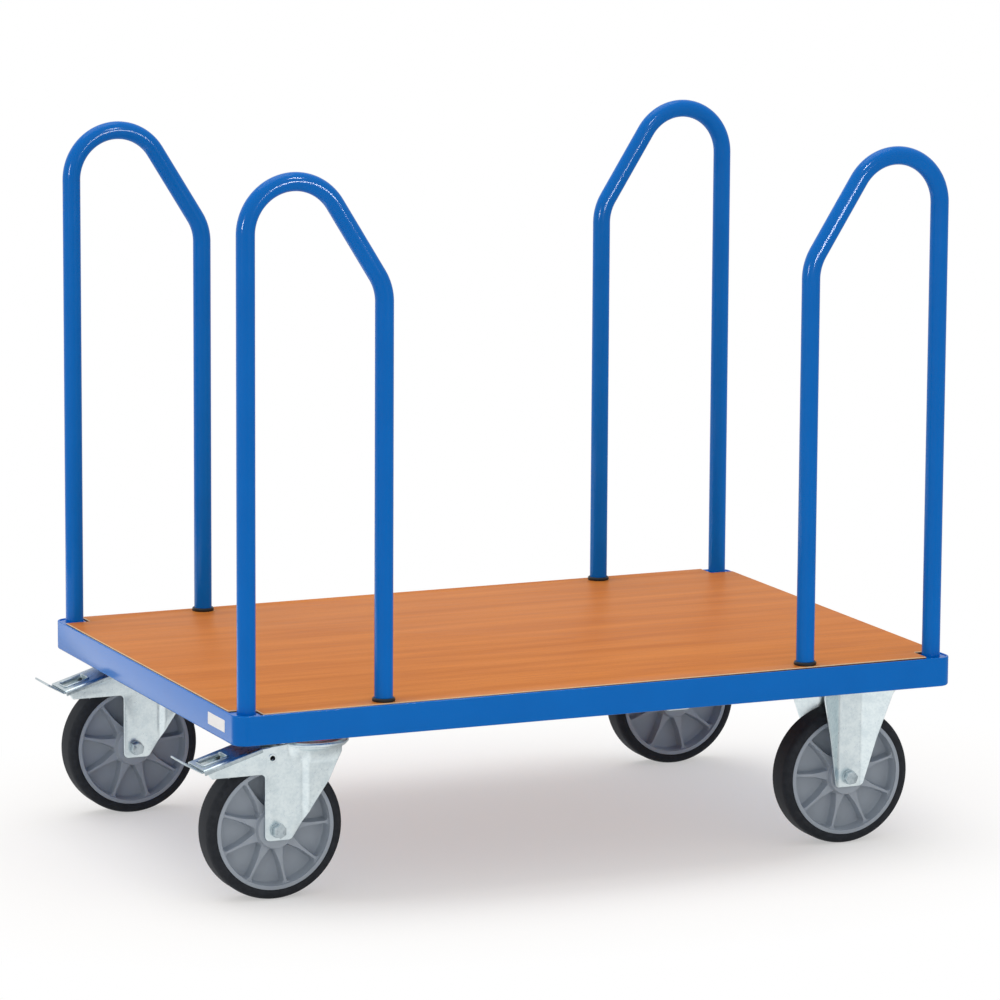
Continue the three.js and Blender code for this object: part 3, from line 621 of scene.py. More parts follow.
# Height of the board's surface over its nominal one: it rises a little from left to right
def deckLift(x):
    atLeft, atRight = -1.2, 0.5
    return np.interp(x, [frameLow.x, frameHigh.x], [atLeft, atRight])


def makeBoard():
    board = {"edge": 1.1, "collarHole": 15.3, "notchFillet": 2, "arrisFrom": 0.1, "arrisTo": 0.98}
    low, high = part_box("deck_board")
    low, high = low / mm, high / mm
    notch, fillet = steel["cornerSize"] - steel["wall"], board["notchFillet"]
    left, right, front, rear = low.x + notch, high.x - notch, low.y + notch, high.y - notch
    corners = [
        [left, low.y], [right, low.y], [right, front, fillet], [high.x, front], [high.x, rear],
        [right, rear, fillet], [right, high.y], [left, high.y], [left, rear, fillet], [low.x, rear],
        [low.x, front], [left, front, fillet]]
    holes = [circle(board["collarHole"], leg.x, leg.y, clockwise=True) for leg in legPlaces.values()]
    body = loft("board", [outline(corners), *holes], roundedLevels(low.z, high.z, board["edge"]))
    for vert in body.data.vertices:
        if vert.co.z > (low.z + high.z) / 2 * mm:
            vert.co.z += deckLift(vert.co.x / mm) * mm
    finishes = [beech, plyEdge, beechArrisHighlight]
    piece = finishPiece(body, "deck.board", "platform", finishes, ["deck_board"])
    # upright faces are the sawn edge, and those that slope up from it the arris, paler there partly as a
    # painted highlight
    for face in piece.data.polygons:
        up = face.normal.z
        if abs(up) < board["arrisFrom"]:
            face.material_index = finishes.index(plyEdge)
        elif 0 < up < board["arrisTo"]:
            face.material_index = finishes.index(beechArrisHighlight)
    discard(body)


def makeCollars():
    bore, neck, bead, stand, deep, seat = 13.3, 15.0, 16.1, 5, 10.5, 0.05
    profile = outline([
        [bore, -deep], [neck, -deep], [neck, seat, 0.2], [bead, seat, 0.4], [bead, stand, 2.2],
        [bore, stand, 1.2]], 20)
    shape = turned("collar", profile, 64)
    for corner in cornerNames:
        leg = legPlaces[corner]
        finishPiece(shape, f"collar.{corner}", "platform", blackPlastic,
                    [f"{corner}_collar"], (leg.x, leg.y, deckTop + deckLift(leg.x)))
    discard(shape)


makeBoard()
makeCollars()
print("deck ready")


def makeBows():
    bow = {"radius": 13, "bend": 70, "slant": 32, "arcStep": 3}
    tree = makeTubeTree()
    slant, step = math.radians(bow["slant"]), math.radians(bow["arcStep"])
    bend, spacing = bow["bend"], steel["legSpacing"]
    for corner in cornerNames:
        low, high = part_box(f"{corner}_bow")
        foot, top = low.z / mm, high.z / mm
        towards = -cornerAt(corner)[0]
        outer = outerLeg(corner)
        spring = top - bow["radius"] - bend
        path = [(0, foot)]
        turns = np.arange(0, math.pi - slant, step).tolist() + [math.pi - slant]
        path += [(bend * (1 - math.cos(t)), spring + bend * math.sin(t)) for t in turns]
        elbowX = spacing - bend + bend * math.cos(slant)
        elbowZ = path[-1][1] - (elbowX - path[-1][0]) / math.tan(slant)
        elbowFoot = elbowZ - bend * math.sin(slant)
        turns = np.arange(slant, 0, -step).tolist() + [0]
        path += [(spacing - bend * (1 - math.cos(t)), elbowFoot + bend * math.sin(t)) for t in turns]
        path.append((spacing, foot))
        curve = bpy.data.curves.new("path", "CURVE")
        curve.dimensions = "3D"
        line = curve.splines.new("POLY")
        line.points.add(len(path) - 1)
        for point, (x, z) in zip(line.points, path):
            point.co = (*(Vector((outer.x + towards * x, outer.y, z)) * mm), 1)
        shape = runTree(newObject("path", curve), tree, {"Radius": bow["radius"] * mm})
        finishPiece(shape, f"bow.{corner}", f"{corner}_bow", bluePaint, [f"{corner}_bow"])
        discard(shape)


makeBows()
print("bows ready")


wheelSize = {
    "tyreRadius": 100, "rimRadius": 86, "tyreHalf": 23.35, "rimHalf": 22, "ringInner": 80.5, "spokeLevel": 17,
    "web": 2.5, "hubRadius": 27, "hubHalf": 25.5, "bore": 11.3, "count": 9,
}
# Degrees that the wheels have turned; those that can be seen are as photographed
wheelTurns = {"front_left": -8, "front_right": 6, "rear_left": -3, "rear_right": -8}


# A profile's upper half and its mirror image, as one closed profile
def bothWays(half):
    return half + [[radius, -height, *more] for radius, height, *more in reversed(half)]


def makeRimBlank():
    w = wheelSize
    half = [
        [w["bore"], w["hubHalf"], 0.5], [w["hubRadius"] - 0.5, w["hubHalf"], 1.6],
        [w["hubRadius"] + 1.2, w["spokeLevel"], 1.5], [w["ringInner"] - 0.4, w["spokeLevel"], 0.8],
        [w["ringInner"], w["rimHalf"], 0.5], [w["rimRadius"], w["rimHalf"], 0.5]]
    return turned("rim", outline(bothWays(half), 15), 180, "Y")


# One pocket between two spokes, straight above the axle; it sinks towards the web
def makePocket(side):
    w = wheelSize
    pocket = {"root": 13.5, "rootRise": 1.4, "waistAt": 50, "waist": 4.6, "tip": 3.6, "tipDrop": 0.5,
              "hubFillet": 2.5, "waistFillet": 70, "tipFillet": 5.5, "floorFillet": 1.8, "floorSteps": 4,
              "draft": 1.4, "arcPoints": 7, "lead": 0.14,
              "lipLevels": [(-0.9, 0), (-0.4, -0.12), (-0.1, -0.35), (0.05, -0.5), (9, -0.5)]}
    pitch = math.pi / w["count"]
    outer = w["ringInner"] - pocket["tipDrop"]

    def flank(hand, radius, width, fillet):
        angle = math.pi / 2 + hand * pitch
        x = radius * math.cos(angle) + hand * width / 2 * math.sin(angle)
        z = radius * math.sin(angle) - hand * width / 2 * math.cos(angle)
        return [x, z, fillet]

    def flanks(hand):
        return [flank(hand, w["hubRadius"] + pocket["rootRise"], pocket["root"], pocket["hubFillet"]),
                flank(hand, pocket["waistAt"], pocket["waist"], pocket["waistFillet"]),
                flank(hand, outer, pocket["tip"], pocket["tipFillet"])]

    right, left = flanks(-1), flanks(1)
    first = math.atan2(right[-1][1], right[-1][0])
    span = math.pi - 2 * first
    lead = pocket["lead"] * span
    arc = []
    for k in range(pocket["arcPoints"]):
        angle = first + lead + (span - 2 * lead) * k / (pocket["arcPoints"] - 1)
        arc.append([outer * math.cos(angle), outer * math.sin(angle)])
    points = outline([*right, *arc, *reversed(left)], 12)
    fillet, draft, steps = pocket["floorFillet"], pocket["draft"], pocket["floorSteps"]
    turns = [math.pi / 2 * k / steps for k in range(steps + 1)]
    levels = [(w["web"] + fillet * (1 - math.cos(t)), draft + fillet * (1 - math.sin(t))) for t in turns]
    levels += [(w["spokeLevel"] + up, inwards) for up, inwards in pocket["lipLevels"]]
    return loft("pocket", [points], [(side * height, distance) for height, distance in levels], "Y")


def makeTyre():
    w = wheelSize
    wallRadius, shoulderRadius, shoulderDrop, treadHalf = 92, 97.6, 3.4, 15.5
    half = [
        [w["rimRadius"] + 0.1, w["rimHalf"] - 0.6], [w["rimRadius"] + 1.0, w["rimHalf"] + 0.4, 0.8],
        [wallRadius, w["tyreHalf"], 8], [shoulderRadius, w["tyreHalf"] - shoulderDrop, 5],
        [w["tyreRadius"], treadHalf, 12]]
    return turned("tyre", outline(bothWays(half), 10), 180, "Y")


def makeWheels():
    blank, tyre = makeRimBlank(), makeTyre()
    near, far = makePocket(-1), makePocket(1)
    tree = makePocketTree()
    for corner in cornerNames:
        centre = middleOf(f"{corner}_tyre")
        turn = math.radians(wheelTurns[corner]) + math.pi / wheelSize["count"]
        shape = newObject("rim", blank.data.copy())
        for pocket in (near, far):
            values = {"Pocket": pocket, "Count": wheelSize["count"], "Turn": turn}
            shape = runTree(shape, tree, values)
        body = f"{corner}_wheel"
        finishPiece(shape, f"rim.{corner}", body, greyPlastic, [f"{corner}_rim"],
                    centre, sharp=40)
        finishPiece(tyre, f"tyre.{corner}", body, rubber, [f"{corner}_tyre"], centre)
        discard(shape)
    discard(blank, tyre, near, far)


makeWheels()
print("wheels ready")


# Hexagon bar along an axis with turned chamfers on its ends; unturned, it has a corner on its first axis
def hexagon(name, acrossFlats, low, high, axis="Y", turn=0):
    chamfer, spare, steepness = 0.4, 0.2, 0.5
    corner = acrossFlats / math.sqrt(3)
    angles = [math.radians(turn + 60 * k) for k in range(6)]
    corners = [(corner * math.cos(a), corner * math.sin(a)) for a in angles]
    prism = loft(name, [corners], [(low, 0), (high, 0)], axis)
    face, wide = acrossFlats / 2 - chamfer, corner + spare
    rise = (wide - face) * steepness
    profile = [[0, low], [face, low], [wide, low + rise], [wide, high - rise], [face, high], [0, high]]
    return combine(prism, [turned("chamfer", profile, 72, axis)], "INTERSECT")


def makeAxles():
    axle = {"cheek": 30.3, "washer": 10.5, "washerHeight": 2, "acrossFlats": 17, "head": 8.5,
            "headSunk": 0.5, "nut": 8, "nutSunk": 0.2, "thread": 5, "nutBore": 5.3, "proud": 2,
            "sleeve": 10.7, "sleeveHalf": 25.7,
            "turns": {"front_left": 30, "front_right": 8, "rear_left": 17, "rear_right": 44}}
    near, thread = axle["cheek"], axle["thread"]
    face = near + axle["washerHeight"]
    end = face + axle["nut"] + axle["proud"]
    bar = outline([[0, -face], [axle["washer"], -face, 0.5], [axle["washer"], -near, 0.3], [thread, -near],
                   [thread, end, 0.8], [0, end]], 20)
    far = outline([[axle["nutBore"], near], [axle["washer"], near, 0.3], [axle["washer"], face, 0.5],
                   [axle["nutBore"], face]], 20)
    bore = [[0, near], [axle["nutBore"], near], [axle["nutBore"], end], [0, end]]
    half = axle["sleeveHalf"]
    sleeve = turned("sleeve", outline([[axle["nutBore"], -half], [axle["sleeve"], -half, 0.5],
                                       [axle["sleeve"], half, 0.5], [axle["nutBore"], half]], 30), 64, "Y")
    for corner in cornerNames:
        centre = middleOf(f"{corner}_tyre")
        body = f"{corner}_swivel" if corner.endswith("left") else "platform"
        turn = axle["turns"][corner]
        head = hexagon("head", axle["acrossFlats"], -face - axle["head"], -face + axle["headSunk"], "Y", turn)
        bolt = joined(turned("bolt", bar, 64, "Y"), head)
        ring = cut(hexagon("nut", axle["acrossFlats"], face - axle["nutSunk"], face + axle["nut"], "Y", turn),
                   turned("thread", bore, 48, "Y"))
        nut = joined(turned("washer", far, 64, "Y"), ring)
        for shape, word in ((bolt, "bolt"), (nut, "nut"), (sleeve, "sleeve")):
            finishPiece(shape, f"axle.{word}.{corner}", body, greyZinc,
                        [f"{corner}_axle_{word}"], centre)
        discard(bolt, nut)
    discard(sleeve)


makeAxles()
print("axles ready")


# 0 before the start, then a straight rise, with a rounded bend between them
def smoothRise(x, start, blend):
    if x <= start - blend:
        return 0.0
    if x >= start + blend:
        return x - start
    return (x - start + blend) ** 2 / (4 * blend)


# Outline of a caster's top plate, by half its width
def casterPlate(halfWidth):
    halfLength, fillet = 67.5, 10
    return outline(rectangle(-halfLength, halfLength, -halfWidth, halfWidth, fillet))


# Both cheeks of a fork from their side view, with the axle's hole, bent by a rule
def makeCheeks(fork, side, alongX, alongZ, rule):
    hole = circle(fork["hole"], 0, wheelSize["tyreRadius"], 40, True)
    sheets = []
    for hand in (-1, 1):
        levels = roundedLevels(*spanOf(hand, fork["inner"], fork["inner"] + fork["sheet"]), fork["edge"])
        sheets.append(bent(loft("cheek", [side, hole], levels, "Y"), alongX, alongZ, rule))
    return sheets


# Finishes a shape, drawn round its axle's foot, at both casters of an end, and uses it up
def finishCasters(shape, word, end, role, material, node):
    for side in sideNames:
        corner = f"{side}_{end}"
        centre = middleOf(f"{corner}_tyre")
        body = f"{corner}_{role}" if role else "platform"
        finishPiece(shape, f"{word}.{corner}", body, material, [f"{corner}_{node}"],
                    (centre.x, centre.y, 0))
    discard(shape)


def makeFixedForks():
    fork = {"inner": 26, "sheet": 4, "flute": 18.5, "reach": 56.7, "spread": 30 / 38.2, "foot": 21,
            "footRound": 8, "footZ": 85, "waist": 37, "waistZ": 157, "waistFillet": 60, "plate": 5,
            "plateHalf": 60, "plateEdge": 0.8, "seam": 1, "fold": 4, "foldHeight": 9, "edge": 1.1,
            "blend": 3.5, "hole": 5.3, "stations": (14, 24, 1.0), "stationStep": 1.5}
    plateTop = topOf("front_right_fork")
    plateLow = plateTop - fork["plate"]
    foldLow = plateLow - fork["foldHeight"]
    half = [[fork["foot"], fork["footZ"], fork["footRound"]],
            [fork["waist"], fork["waistZ"], fork["waistFillet"]],
            [fork["reach"], plateLow + fork["seam"]]]
    side = outline(half + [[-x, z, *more] for x, z, *more in reversed(half)])

    def rule(x, z):
        out = smoothRise(abs(x), fork["flute"], fork["blend"]) * fork["spread"]
        near = max(0.0, (z - plateLow + fork["foldHeight"]) / fork["foldHeight"])
        return out + fork["fold"] * near ** 2

    alongX = [hand * x for hand in (-1, 1) for x in np.arange(*fork["stations"])]
    alongZ = np.arange(foldLow, plateLow, fork["stationStep"])
    sheets = makeCheeks(fork, side, alongX, alongZ, rule)
    levels = roundedLevels(plateLow, plateTop, fork["plateEdge"])
    shape = joined(loft("plate", [casterPlate(fork["plateHalf"])], levels), *sheets)
    finishCasters(shape, "fork", "right", None, zinc, "fork")


makeFixedForks()
print("fixed casters ready")


swivel = {
    "trail": 60, "inner": 26, "sheet": 4, "crownRadius": 53.5, "crownSheet": 5, "edge": 1.2, "footZ": 85,
    "skirt": 20.5, "taper": 16, "crownEdge": 6, "legFront": 18.5, "legBack": 20.5, "footRound": 8,
    "crease": 34, "fluteRun": 12, "fluteDepth": 5, "fluteBlend": 5, "flare": math.tan(math.radians(8)),
    "kneeBack": 73, "kneeZ": 167, "wingBack": 90.5, "wingZ": 207, "armLow": 179.5, "armRound": 6,
    "nose": 105.5, "noseChamfer": 9, "shoulder": 26, "crest": 14, "hole": 5.3, "pinHole": 8.3,
    "rimInset": 1.5, "turnOut": 12, "turnPower": 1.8, "skirtFoot": 3, "rimStep": 2.5, "plateEdge": 0.8,
    "pivot": (-7.7, 202), "pivotHole": 3.8,
    "stations": (9, 90, 3.0), "stationStep": 1.5, "stationsBelow": 14, "stationsAbove": 3,
    # round the pivot: radius, depth behind the cheek's face, height over it and rounded edge
    "collar": (5.2, 6.2, 0.7, 0.3), "ring": (6.5, 1, 0.8, 0.6),
}
pedal = {
    "slope": math.tan(math.radians(17)), "nose": 109, "noseZ": 193, "back": 24, "sheet": 2, "flange": 8,
    "half": 32.3, "slotLength": 34, "slotWidth": 28, "slotFromNose": 7, "slotFillet": 3, "gap": 0.3,
    "bend": 3.8, "edge": 0.6, "flangeEdge": 0.8,
    # round the slot: growth and fillet of its outline, then low and high levels and rounded edge
    "lip": (2.0, 5.0, -2.8, -0.3, 0.4), "bead": (2.4, 5.4, -1.8, 1.8, 1.1),
    "slotLevels": [(-20, 0), (0.6, 0), (1.2, -0.3), (1.65, -0.9), (10, -0.9)],
    "earRun": 17, "earDrop": 1.5, "earDepth": 8, "earRadius": 8.5, "earNose": 8.4, "earRound": 8,
    "earHole": 5.5, "earSpan": (0.4, 2.2), "earEdge": 0.4,
}
crownTop = topOf("front_left_fork")


# Heights of the sloping sheets, at x ahead of the axle (x is negative there)
def pedalTop(x):
    return pedal["noseZ"] + (pedal["nose"] + x) * pedal["slope"]


sheetRise = math.hypot(1, pedal["slope"])


def armTop(x):
    return pedalTop(x) - (pedal["sheet"] + pedal["gap"]) * sheetRise


def makeSwivelForks():
    s = swivel
    under, skirtLow = crownTop - s["crownSheet"] / 2, crownTop - s["skirt"]
    side = outline([
        [-s["legFront"], s["footZ"], s["footRound"]], [s["legBack"], s["footZ"], s["footRound"]],
        [s["kneeBack"], s["kneeZ"], 12], [s["wingBack"], s["wingZ"], 4], [s["wingBack"], under],
        [s["crest"], under, 40], [-s["shoulder"], armTop(-s["shoulder"]), 60],
        [-s["nose"], armTop(-s["nose"]), 1.5], [-s["nose"] + s["noseChamfer"], s["armLow"], 3],
        [-s["legFront"], s["armLow"], s["armRound"]]])

    def rule(x, z):
        flute = min(1.0, max(0.0, (x - s["crease"]) / s["fluteRun"]))
        out = s["fluteDepth"] * flute * flute * (3 - 2 * flute)
        out += smoothRise(x, s["crease"] + s["fluteRun"], s["fluteBlend"]) * s["flare"]
        # the sheet turns outwards under the crown to meet its rim
        across = s["crownRadius"] ** 2 - (x - s["trail"]) ** 2
        if across > 0:
            rimOut = math.sqrt(across) - s["inner"] - s["sheet"] - s["rimInset"]
            rise = (z - skirtLow + s["turnOut"]) / (s["skirt"] - s["crownEdge"] + s["turnOut"])
            out += max(0.0, rimOut - out) * min(1.0, max(0.0, rise)) ** s["turnPower"]
        return out

    alongZ = np.arange(skirtLow - s["stationsBelow"], crownTop - s["stationsAbove"], s["stationStep"])
    sheets = makeCheeks(s, side, np.arange(*s["stations"]), alongZ, rule)
    crownLow, foot, radius = crownTop - s["crownSheet"], skirtLow + s["skirtFoot"], s["crownRadius"]
    neck, step, shoulder = radius - s["taper"], radius - s["rimStep"], crownTop - s["crownEdge"]
    crown = turned("crown", outline([
        [0, crownLow], [radius - s["crownSheet"], crownLow, 2], [neck - s["sheet"], foot, 0.8],
        [neck, foot, 1.2], [step, shoulder - 3, 3], [step, shoulder - 1.5, 0.8], [radius, shoulder, 1.4],
        [radius - 1, crownTop, 4.2], [0, crownTop]], 15), 128)
    crown.data.transform(Matrix.Translation(Vector((s["trail"], 0, 0)) * mm))
    shape = joined(crown, *sheets)
    rings = []
    face, width = s["inner"] + s["sheet"], 40
    for hand in (-1, 1):
        for word in ("collar", "ring"):
            ringRadius, depth, height, edge = s[word]
            levels = roundedLevels(*spanOf(hand, face - depth, face + height), edge)
            rings.append(loft(word, [circle(ringRadius, *s["pivot"])], levels, "Y"))
    joined(shape, *rings)
    pinBore = loft("pin", [circle(s["pinHole"], s["trail"], 0, 40)],
                   [(crownTop - 30, 0), (crownTop + overrun, 0)])
    pivotBore = loft("pivot", [circle(s["pivotHole"], *s["pivot"], 40)], [(-width, 0), (width, 0)], "Y")
    cut(shape, pivotBore, pinBore)
    finishCasters(shape, "fork", "left", "swivel", zinc, "fork")


def makePedals():
    p, s = pedal, swivel
    lean = math.atan(p["slope"])
    length = (p["nose"] - p["back"]) / math.cos(lean)
    # drawn flat from the nose at x = 0, then leaned into place
    deep, edge, sheet, bend = p["flange"] * math.cos(lean), p["flangeEdge"], p["sheet"], p["bend"]
    inner, half = p["half"] - sheet, p["half"]
    section = outline([
        [-half, -deep, edge], [-inner, -deep, edge], [-inner, -sheet, bend - sheet],
        [inner, -sheet, bend - sheet], [inner, -deep, edge], [half, -deep, edge], [half, 0, bend],
        [-half, 0, bend]])
    shape = loft("pedal", [section], roundedLevels(0, length, p["edge"]), "X")
    near = p["slotFromNose"] / math.cos(lean)
    far = near + p["slotLength"] / math.cos(lean)
    slotHalf = p["slotWidth"] / 2

    def slotLoop(grow, fillet):
        return outline(rectangle(near - grow, far + grow, -slotHalf - grow, slotHalf + grow, fillet))

    rounds = [loft(word, [slotLoop(*p[word][:2])], roundedLevels(*p[word][2:])) for word in ("lip", "bead")]
    joined(shape, *rounds)
    cut(shape, loft("slot", [slotLoop(0, p["slotFillet"])], p["slotLevels"]))
    shape.data.transform(Matrix.Translation(Vector((-p["nose"], 0, p["noseZ"])) * mm)
                         @ Matrix.Rotation(-lean, 4, "Y"))
    (x, z), around, rounded = s["pivot"], p["earRadius"], p["earRound"]
    front, back = -(p["back"] + p["earRun"]), -p["back"]
    ear = outline([
        [front, pedalTop(front) - p["earDrop"]], [front, pedalTop(front) - p["earDepth"], 2],
        [x, z - around, rounded], [x + p["earNose"], z, rounded], [x, z + around, rounded],
        [back, pedalTop(back) - p["earDrop"]]])
    earHole = circle(p["earHole"], x, z, 40, True)
    ears = []
    for hand in (-1, 1):
        ends = spanOf(hand, *[s["inner"] - gap for gap in p["earSpan"]])
        ears.append(loft("ear", [ear, earHole], roundedLevels(*ends, p["earEdge"]), "Y"))
    joined(shape, *ears)
    finishCasters(shape, "pedal", "left", "brake", greyZinc, "brake_pedal")


# Leaf under the pedal plate with a window under its slot, the wide upturned tread and the brake shoe
def makeTreads():
    p = pedal
    tread = {"width": 46, "back": 47, "blade": 58, "bladeFrom": 106.1, "reach": 25, "edge": 0.7,
             "slope": math.tan(math.radians(31)), "sheet": 2, "bladeSheet": 2.8, "windowGap": 2.5,
             "shoeHalf": 16, "shoeAngle": 35, "shoeArc": 12, "shoeSteps": 6, "shoeRadius": 101,
             "shoeEdge": 0.5, "shoeSunk": 0.8, "windowFillet": 3, "windowRun": 20}
    bend = -(p["nose"] + tread["sheet"] / 2)
    tip = bend - tread["reach"]
    tipTop = armTop(bend) + tread["reach"] * tread["slope"]
    upright = tread["bladeSheet"] * math.hypot(1, tread["slope"])
    leafUnder = tread["sheet"] * sheetRise

    def strip(start, width):
        side = outline([
            [start, armTop(start)], [bend, armTop(bend), 2], [tip, tipTop, 1.1], [tip, tipTop - upright, 1.1],
            [bend, armTop(bend) - leafUnder, 4], [start, armTop(start) - leafUnder]])
        return loft("strip", [side], roundedLevels(-width / 2, width / 2, tread["edge"]), "Y")

    shape = strip(-tread["back"], tread["width"])
    steps, radius, axleZ = tread["shoeSteps"], tread["shoeRadius"], wheelSize["tyreRadius"]
    middle, span = tread["shoeAngle"], tread["shoeArc"]
    turns = [math.radians(middle + span * (k / steps - 0.5)) for k in range(steps + 1)]
    arc = [[-radius * math.sin(t), axleZ + radius * math.cos(t)] for t in turns]
    top = [[x, armTop(x) - leafUnder + tread["shoeSunk"]] for x in (arc[-1][0], arc[0][0])]
    levels = roundedLevels(-tread["shoeHalf"], tread["shoeHalf"], tread["shoeEdge"])
    shoe = loft("shoe", [outline(arc + top)], levels, "Y")
    joined(shape, strip(-tread["bladeFrom"], tread["blade"]), shoe)
    near = -p["nose"] + p["slotFromNose"] - tread["windowGap"]
    far = near + p["slotLength"] + 2 * tread["windowGap"]
    half = p["slotWidth"] / 2 + tread["windowGap"]
    window = outline(rectangle(near, far, -half, half, tread["windowFillet"]))
    levels = [(armTop(near) - tread["windowRun"], 0), (armTop(far) + tread["windowRun"], 0)]
    cut(shape, loft("window", [window], levels))
    finishCasters(shape, "tread", "left", "brake", greyZinc, "brake_tread")


def makeSwivelHeads():
    head = {"raceInner": 26, "raceOuter": 37, "seal": 47, "sealWidth": 4, "sealHeight": 4.5, "sealRise": 1.3,
            "gap": 0.3, "pin": 8, "pinHead": 14, "pinHeadHeight": 6, "plateThickness": 4, "plateHalf": 55,
            "sunk": 0.5}
    top = topOf("front_left_swivel_plate")
    under, low = top - head["plateThickness"], crownTop + head["gap"]
    outlines = [casterPlate(head["plateHalf"]), circle(swivel["pinHole"], sides=40, clockwise=True)]
    plate = loft("plate", outlines, roundedLevels(under, top, swivel["plateEdge"]))
    inner, outer, sunk = head["raceInner"], head["raceOuter"], under + head["sunk"]
    race = outline([[inner, low], [outer, low, 1.5], [outer - 1, sunk], [inner, sunk]], 20)
    joined(plate, turned("race", race, 96))
    inner, outer, sealLow = head["seal"] - head["sealWidth"], head["seal"], low + head["sealRise"]
    sealTop = sealLow + head["sealHeight"]
    seal = turned("seal", outline([[inner, sealLow, 0.5], [outer, sealLow, 0.6], [outer, sealTop, 2.2],
                                   [inner, sealTop, 0.8]], 20), 96)
    pinTop, pinLow = top - head["gap"], crownTop - swivel["crownSheet"] - head["gap"]
    foot, flange = pinLow - head["pinHeadHeight"], head["pinHead"]
    pin = turned("pin", outline([[0, foot], [flange, foot, 2], [flange, pinLow, 0.5], [head["pin"], pinLow],
                                 [head["pin"], pinTop, 0.8], [0, pinTop]], 20), 64)
    pieces = (("plate", plate, zinc, "zinc_plate", "swivel_plate"),
              ("seal", seal, redSeal, "red_seal", "seal_ring"),
              ("pin", pin, zinc, "zinc_plate", "kingpin"))
    for side in sideNames:
        corner = f"{side}_left"
        pivot = middleOf(f"{corner}_kingpin")
        for word, shape, material, slot, node in pieces:
            finishPiece(shape, f"head.{word}.{corner}", "platform", material, [f"{corner}_{node}"],
                        (pivot.x, pivot.y, 0))
    discard(plate, seal, pin)


# Hexagon bolts through the caster plates, heads below
def makeFasteners():
    bolt = {"acrossFlats": 13, "head": 5.3, "headSunk": 0.6, "shank": 4, "shankFrom": 0.5, "through": 16,
            "nut": 6.5, "nutFrom": 7.5}
    # what marks a plate's middle, the node with the plate, and its thickness
    plates = {"left": ("kingpin", "swivel_plate", 4), "right": ("tyre", "fork", 5)}
    shank = turned("shank", outline([[0, bolt["shankFrom"]], [bolt["shank"], bolt["shankFrom"]],
                                     [bolt["shank"], bolt["through"], 0.6], [0, bolt["through"]]], 30), 24)
    shape = joined(shank, hexagon("head", bolt["acrossFlats"], -bolt["head"], bolt["headSunk"], "Z"),
                   hexagon("nut", bolt["acrossFlats"], bolt["nutFrom"], bolt["nutFrom"] + bolt["nut"], "Z"))
    middles = []
    for corner in cornerNames:
        marker, node, thickness = plates[corner.split("_")[1]]
        spot = middleOf(f"{corner}_{marker}")
        face = topOf(f"{corner}_{node}") - thickness
        middles.append(Vector((spot.x, spot.y, face)) * mm)
    points = bpy.data.meshes.new("plates")
    points.from_pydata(middles, [], [])
    made = runTree(newObject("plates", points), makeFastenerTree(), {"Fastener": shape})
    finishPiece(made, "plate.bolts", "platform", greyZinc)
    discard(made, shape)


makeSwivelForks()
makePedals()
makeTreads()
makeSwivelHeads()
makeFasteners()
print("swivel casters ready")


# 1 for the rays that show the white backdrop: camera, glossy and transmission
def backdropRays(tree):
    path = addNode(tree, "ShaderNodeLightPath").outputs
    seen = calculate(tree, "MAXIMUM", path["Is Camera Ray"], path["Is Glossy Ray"])
    return calculate(tree, "MAXIMUM", seen, path["Is Transmission Ray"])


# Pale floor that keeps the shadows and fades into the white backdrop away from the trolley
def makeFloor():
    floorLook = {"size": 1.3, "colour": "#F8F5F1", "roughness": 0.9, "lift": 0.42, "squash": (0.78, 1.1, 0),
                 "fade": (0.46, 0.88)}
    size = floorLook["size"]
    mesh = bpy.data.meshes.new("floor")
    mesh.from_pydata([(*corner, 0) for corner in rectangle(-size, size, -size, size)], [], [(0, 1, 2, 3)])
    floor = newObject("floor", mesh)
    material = bpy.data.materials.new("studio floor")
    material.use_nodes = True
    tree = material.node_tree
    shader = tree.nodes["Principled BSDF"]
    shader.inputs["Base Color"].default_value = linear(floorLook["colour"])
    shader.inputs["Roughness"].default_value = floorLook["roughness"]
    shader.inputs["Specular IOR Level"].default_value = 0.0
    place = addNode(tree, "ShaderNodeTexCoord").outputs["Object"]
    squashed = addNode(tree, "ShaderNodeVectorMath", {0: place, 1: floorLook["squash"]}, operation="MULTIPLY")
    away = addNode(tree, "ShaderNodeVectorMath", {0: squashed.outputs[0]}, operation="LENGTH")
    white = rangeOf(tree, away.outputs["Value"], *floorLook["fade"], floorLook["lift"], 1.0)
    shown = calculate(tree, "MULTIPLY", backdropRays(tree), white)
    glow = addNode(tree, "ShaderNodeEmission", {"Color": (1, 1, 1, 1), "Strength": 1.0})
    mix = addNode(tree, "ShaderNodeMixShader", {0: shown, 1: shader.outputs[0], 2: glow.outputs[0]})
    tree.links.new(mix.outputs[0], tree.nodes["Material Output"].inputs["Surface"])
    mesh.materials.append(material)
    floor.visible_glossy = False


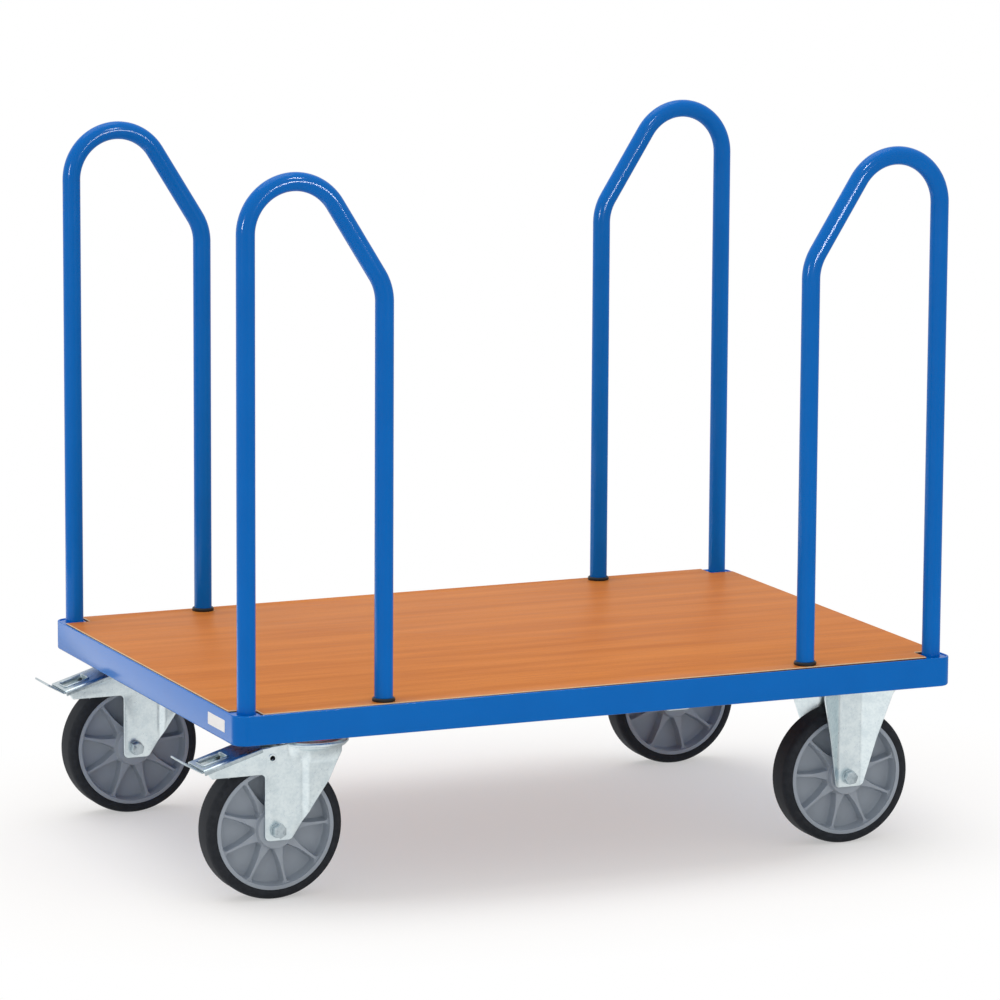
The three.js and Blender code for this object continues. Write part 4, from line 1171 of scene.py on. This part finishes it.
# Even light all round; polished metal sees a room that is dimmer to the right, with a dark gap in front
def makeWorld():
    room = {"light": 0.76, "tint": (1.0, 0.975, 0.955, 1.0), "level": 1.08, "slope": (-0.6, -0.12, 0.3),
            "gap": Vector((-0.08, -1.0, -0.17)).normalized(), "gapSpan": (0.93, 0.985), "gapDepth": 0.45}
    world = bpy.data.worlds.new("studio")
    scene.world = world
    world.use_nodes = True
    tree = world.node_tree
    tree.nodes.clear()
    towards = addNode(tree, "ShaderNodeTexCoord").outputs["Generated"]
    products = [addNode(tree, "ShaderNodeVectorMath", {0: towards, 1: room[way]}, operation="DOT_PRODUCT")
                for way in ("slope", "gap")]
    slope, facing = [product.outputs["Value"] for product in products]
    gap = rangeOf(tree, facing, *room["gapSpan"], room["level"], room["level"] - room["gapDepth"])
    walls = calculate(tree, "ADD", slope, gap, use_clamp=True)
    level = calculate(tree, "MAXIMUM", walls, addNode(tree, "ShaderNodeLightPath").outputs["Is Camera Ray"])
    light = addNode(tree, "ShaderNodeBackground", {"Color": room["tint"], "Strength": room["light"]})
    shown = addNode(tree, "ShaderNodeBackground", {"Color": (1, 1, 1, 1), "Strength": level})
    mix = addNode(tree, "ShaderNodeMixShader", {
        0: backdropRays(tree), 1: light.outputs[0], 2: shown.outputs[0]})
    addNode(tree, "ShaderNodeOutputWorld", {0: mix.outputs[0]})


# One broad lamp from above and a little behind
def makeKey():
    key = {"energy": 1.1, "angle": 50, "from": (-0.1, 0.25, 1.0), "tint": (0.985, 1.0, 1.02)}
    lamp = bpy.data.lights.new("key", "SUN")
    lamp.energy = key["energy"]
    lamp.color = key["tint"]
    lamp.angle = math.radians(key["angle"])
    newObject("key", lamp).rotation_euler = Vector(key["from"]).to_track_quat("Z", "Y").to_euler()


# Small softboxes that draw the streaks on the glossy enamel, and a card that lightens the left end rail
def makeStreakLamps():
    strips = {
        "strip.front": {"place": (0.3, -1.85, 1.12), "aim": (0, 0, 0.9), "size": (0.8, 0.3), "power": 40},
        "strip.high": {"place": (0.03, -1.2, 1.98), "aim": (0, 0, 0.9), "size": (0.34, 0.2), "power": 16},
        "strip.left": {"place": (-4.1, -2.0, 1.45), "aim": (0, 0, 0.9), "size": (0.6, 0.9), "power": 130},
        "card.left": {"place": (-0.75, 0.5, 0.15), "aim": (0, 0.5, 0.15), "size": (1.3, 0.3), "power": 1.6},
    }
    enamel = bpy.data.collections.new("enamel")
    for item in scene.objects:
        if item.type == "MESH" and item.name.startswith(("frame.", "bow.")):
            enamel.objects.link(item)
    for name, strip in strips.items():
        lamp = bpy.data.lights.new(name, "AREA")
        lamp.shape = "RECTANGLE"
        lamp.size, lamp.size_y = strip["size"]
        lamp.energy = strip["power"]
        item = newObject(name, lamp)
        item.location = strip["place"]
        item.rotation_euler = (item.location - Vector(strip["aim"])).to_track_quat("Z", "Y").to_euler()
        item.visible_camera = False
        item.visible_diffuse = False
        item.light_linking.receiver_collection = enamel


def makeCamera():
    view = {"place": (-3.127129, -7.163677, 1.839854), "lens": 197.4, "yaw": 0.415, "pitch": 0.172,
            "roll": 0.006}
    data = bpy.data.cameras.new("camera")
    data.sensor_width = 36
    data.lens = view["lens"]
    data.clip_end = 200
    camera = newObject("camera", data)
    flat = Vector((math.sin(view["yaw"]), math.cos(view["yaw"]), 0))
    ahead = flat * math.cos(view["pitch"]) - Vector((0, 0, math.sin(view["pitch"])))
    right = Vector((math.cos(view["yaw"]), -math.sin(view["yaw"]), 0))
    up = right.cross(ahead)
    right, up = (right * math.cos(view["roll"]) + up * math.sin(view["roll"]),
                 up * math.cos(view["roll"]) - right * math.sin(view["roll"]))
    axes = Matrix((right, up, -ahead)).transposed().to_4x4()
    camera.matrix_world = Matrix.Translation(view["place"]) @ axes
    scene.camera = camera


makeFloor()
makeWorld()
makeKey()
makeStreakLamps()
makeCamera()
scene.view_settings.view_transform = "Standard"
print("stage ready")
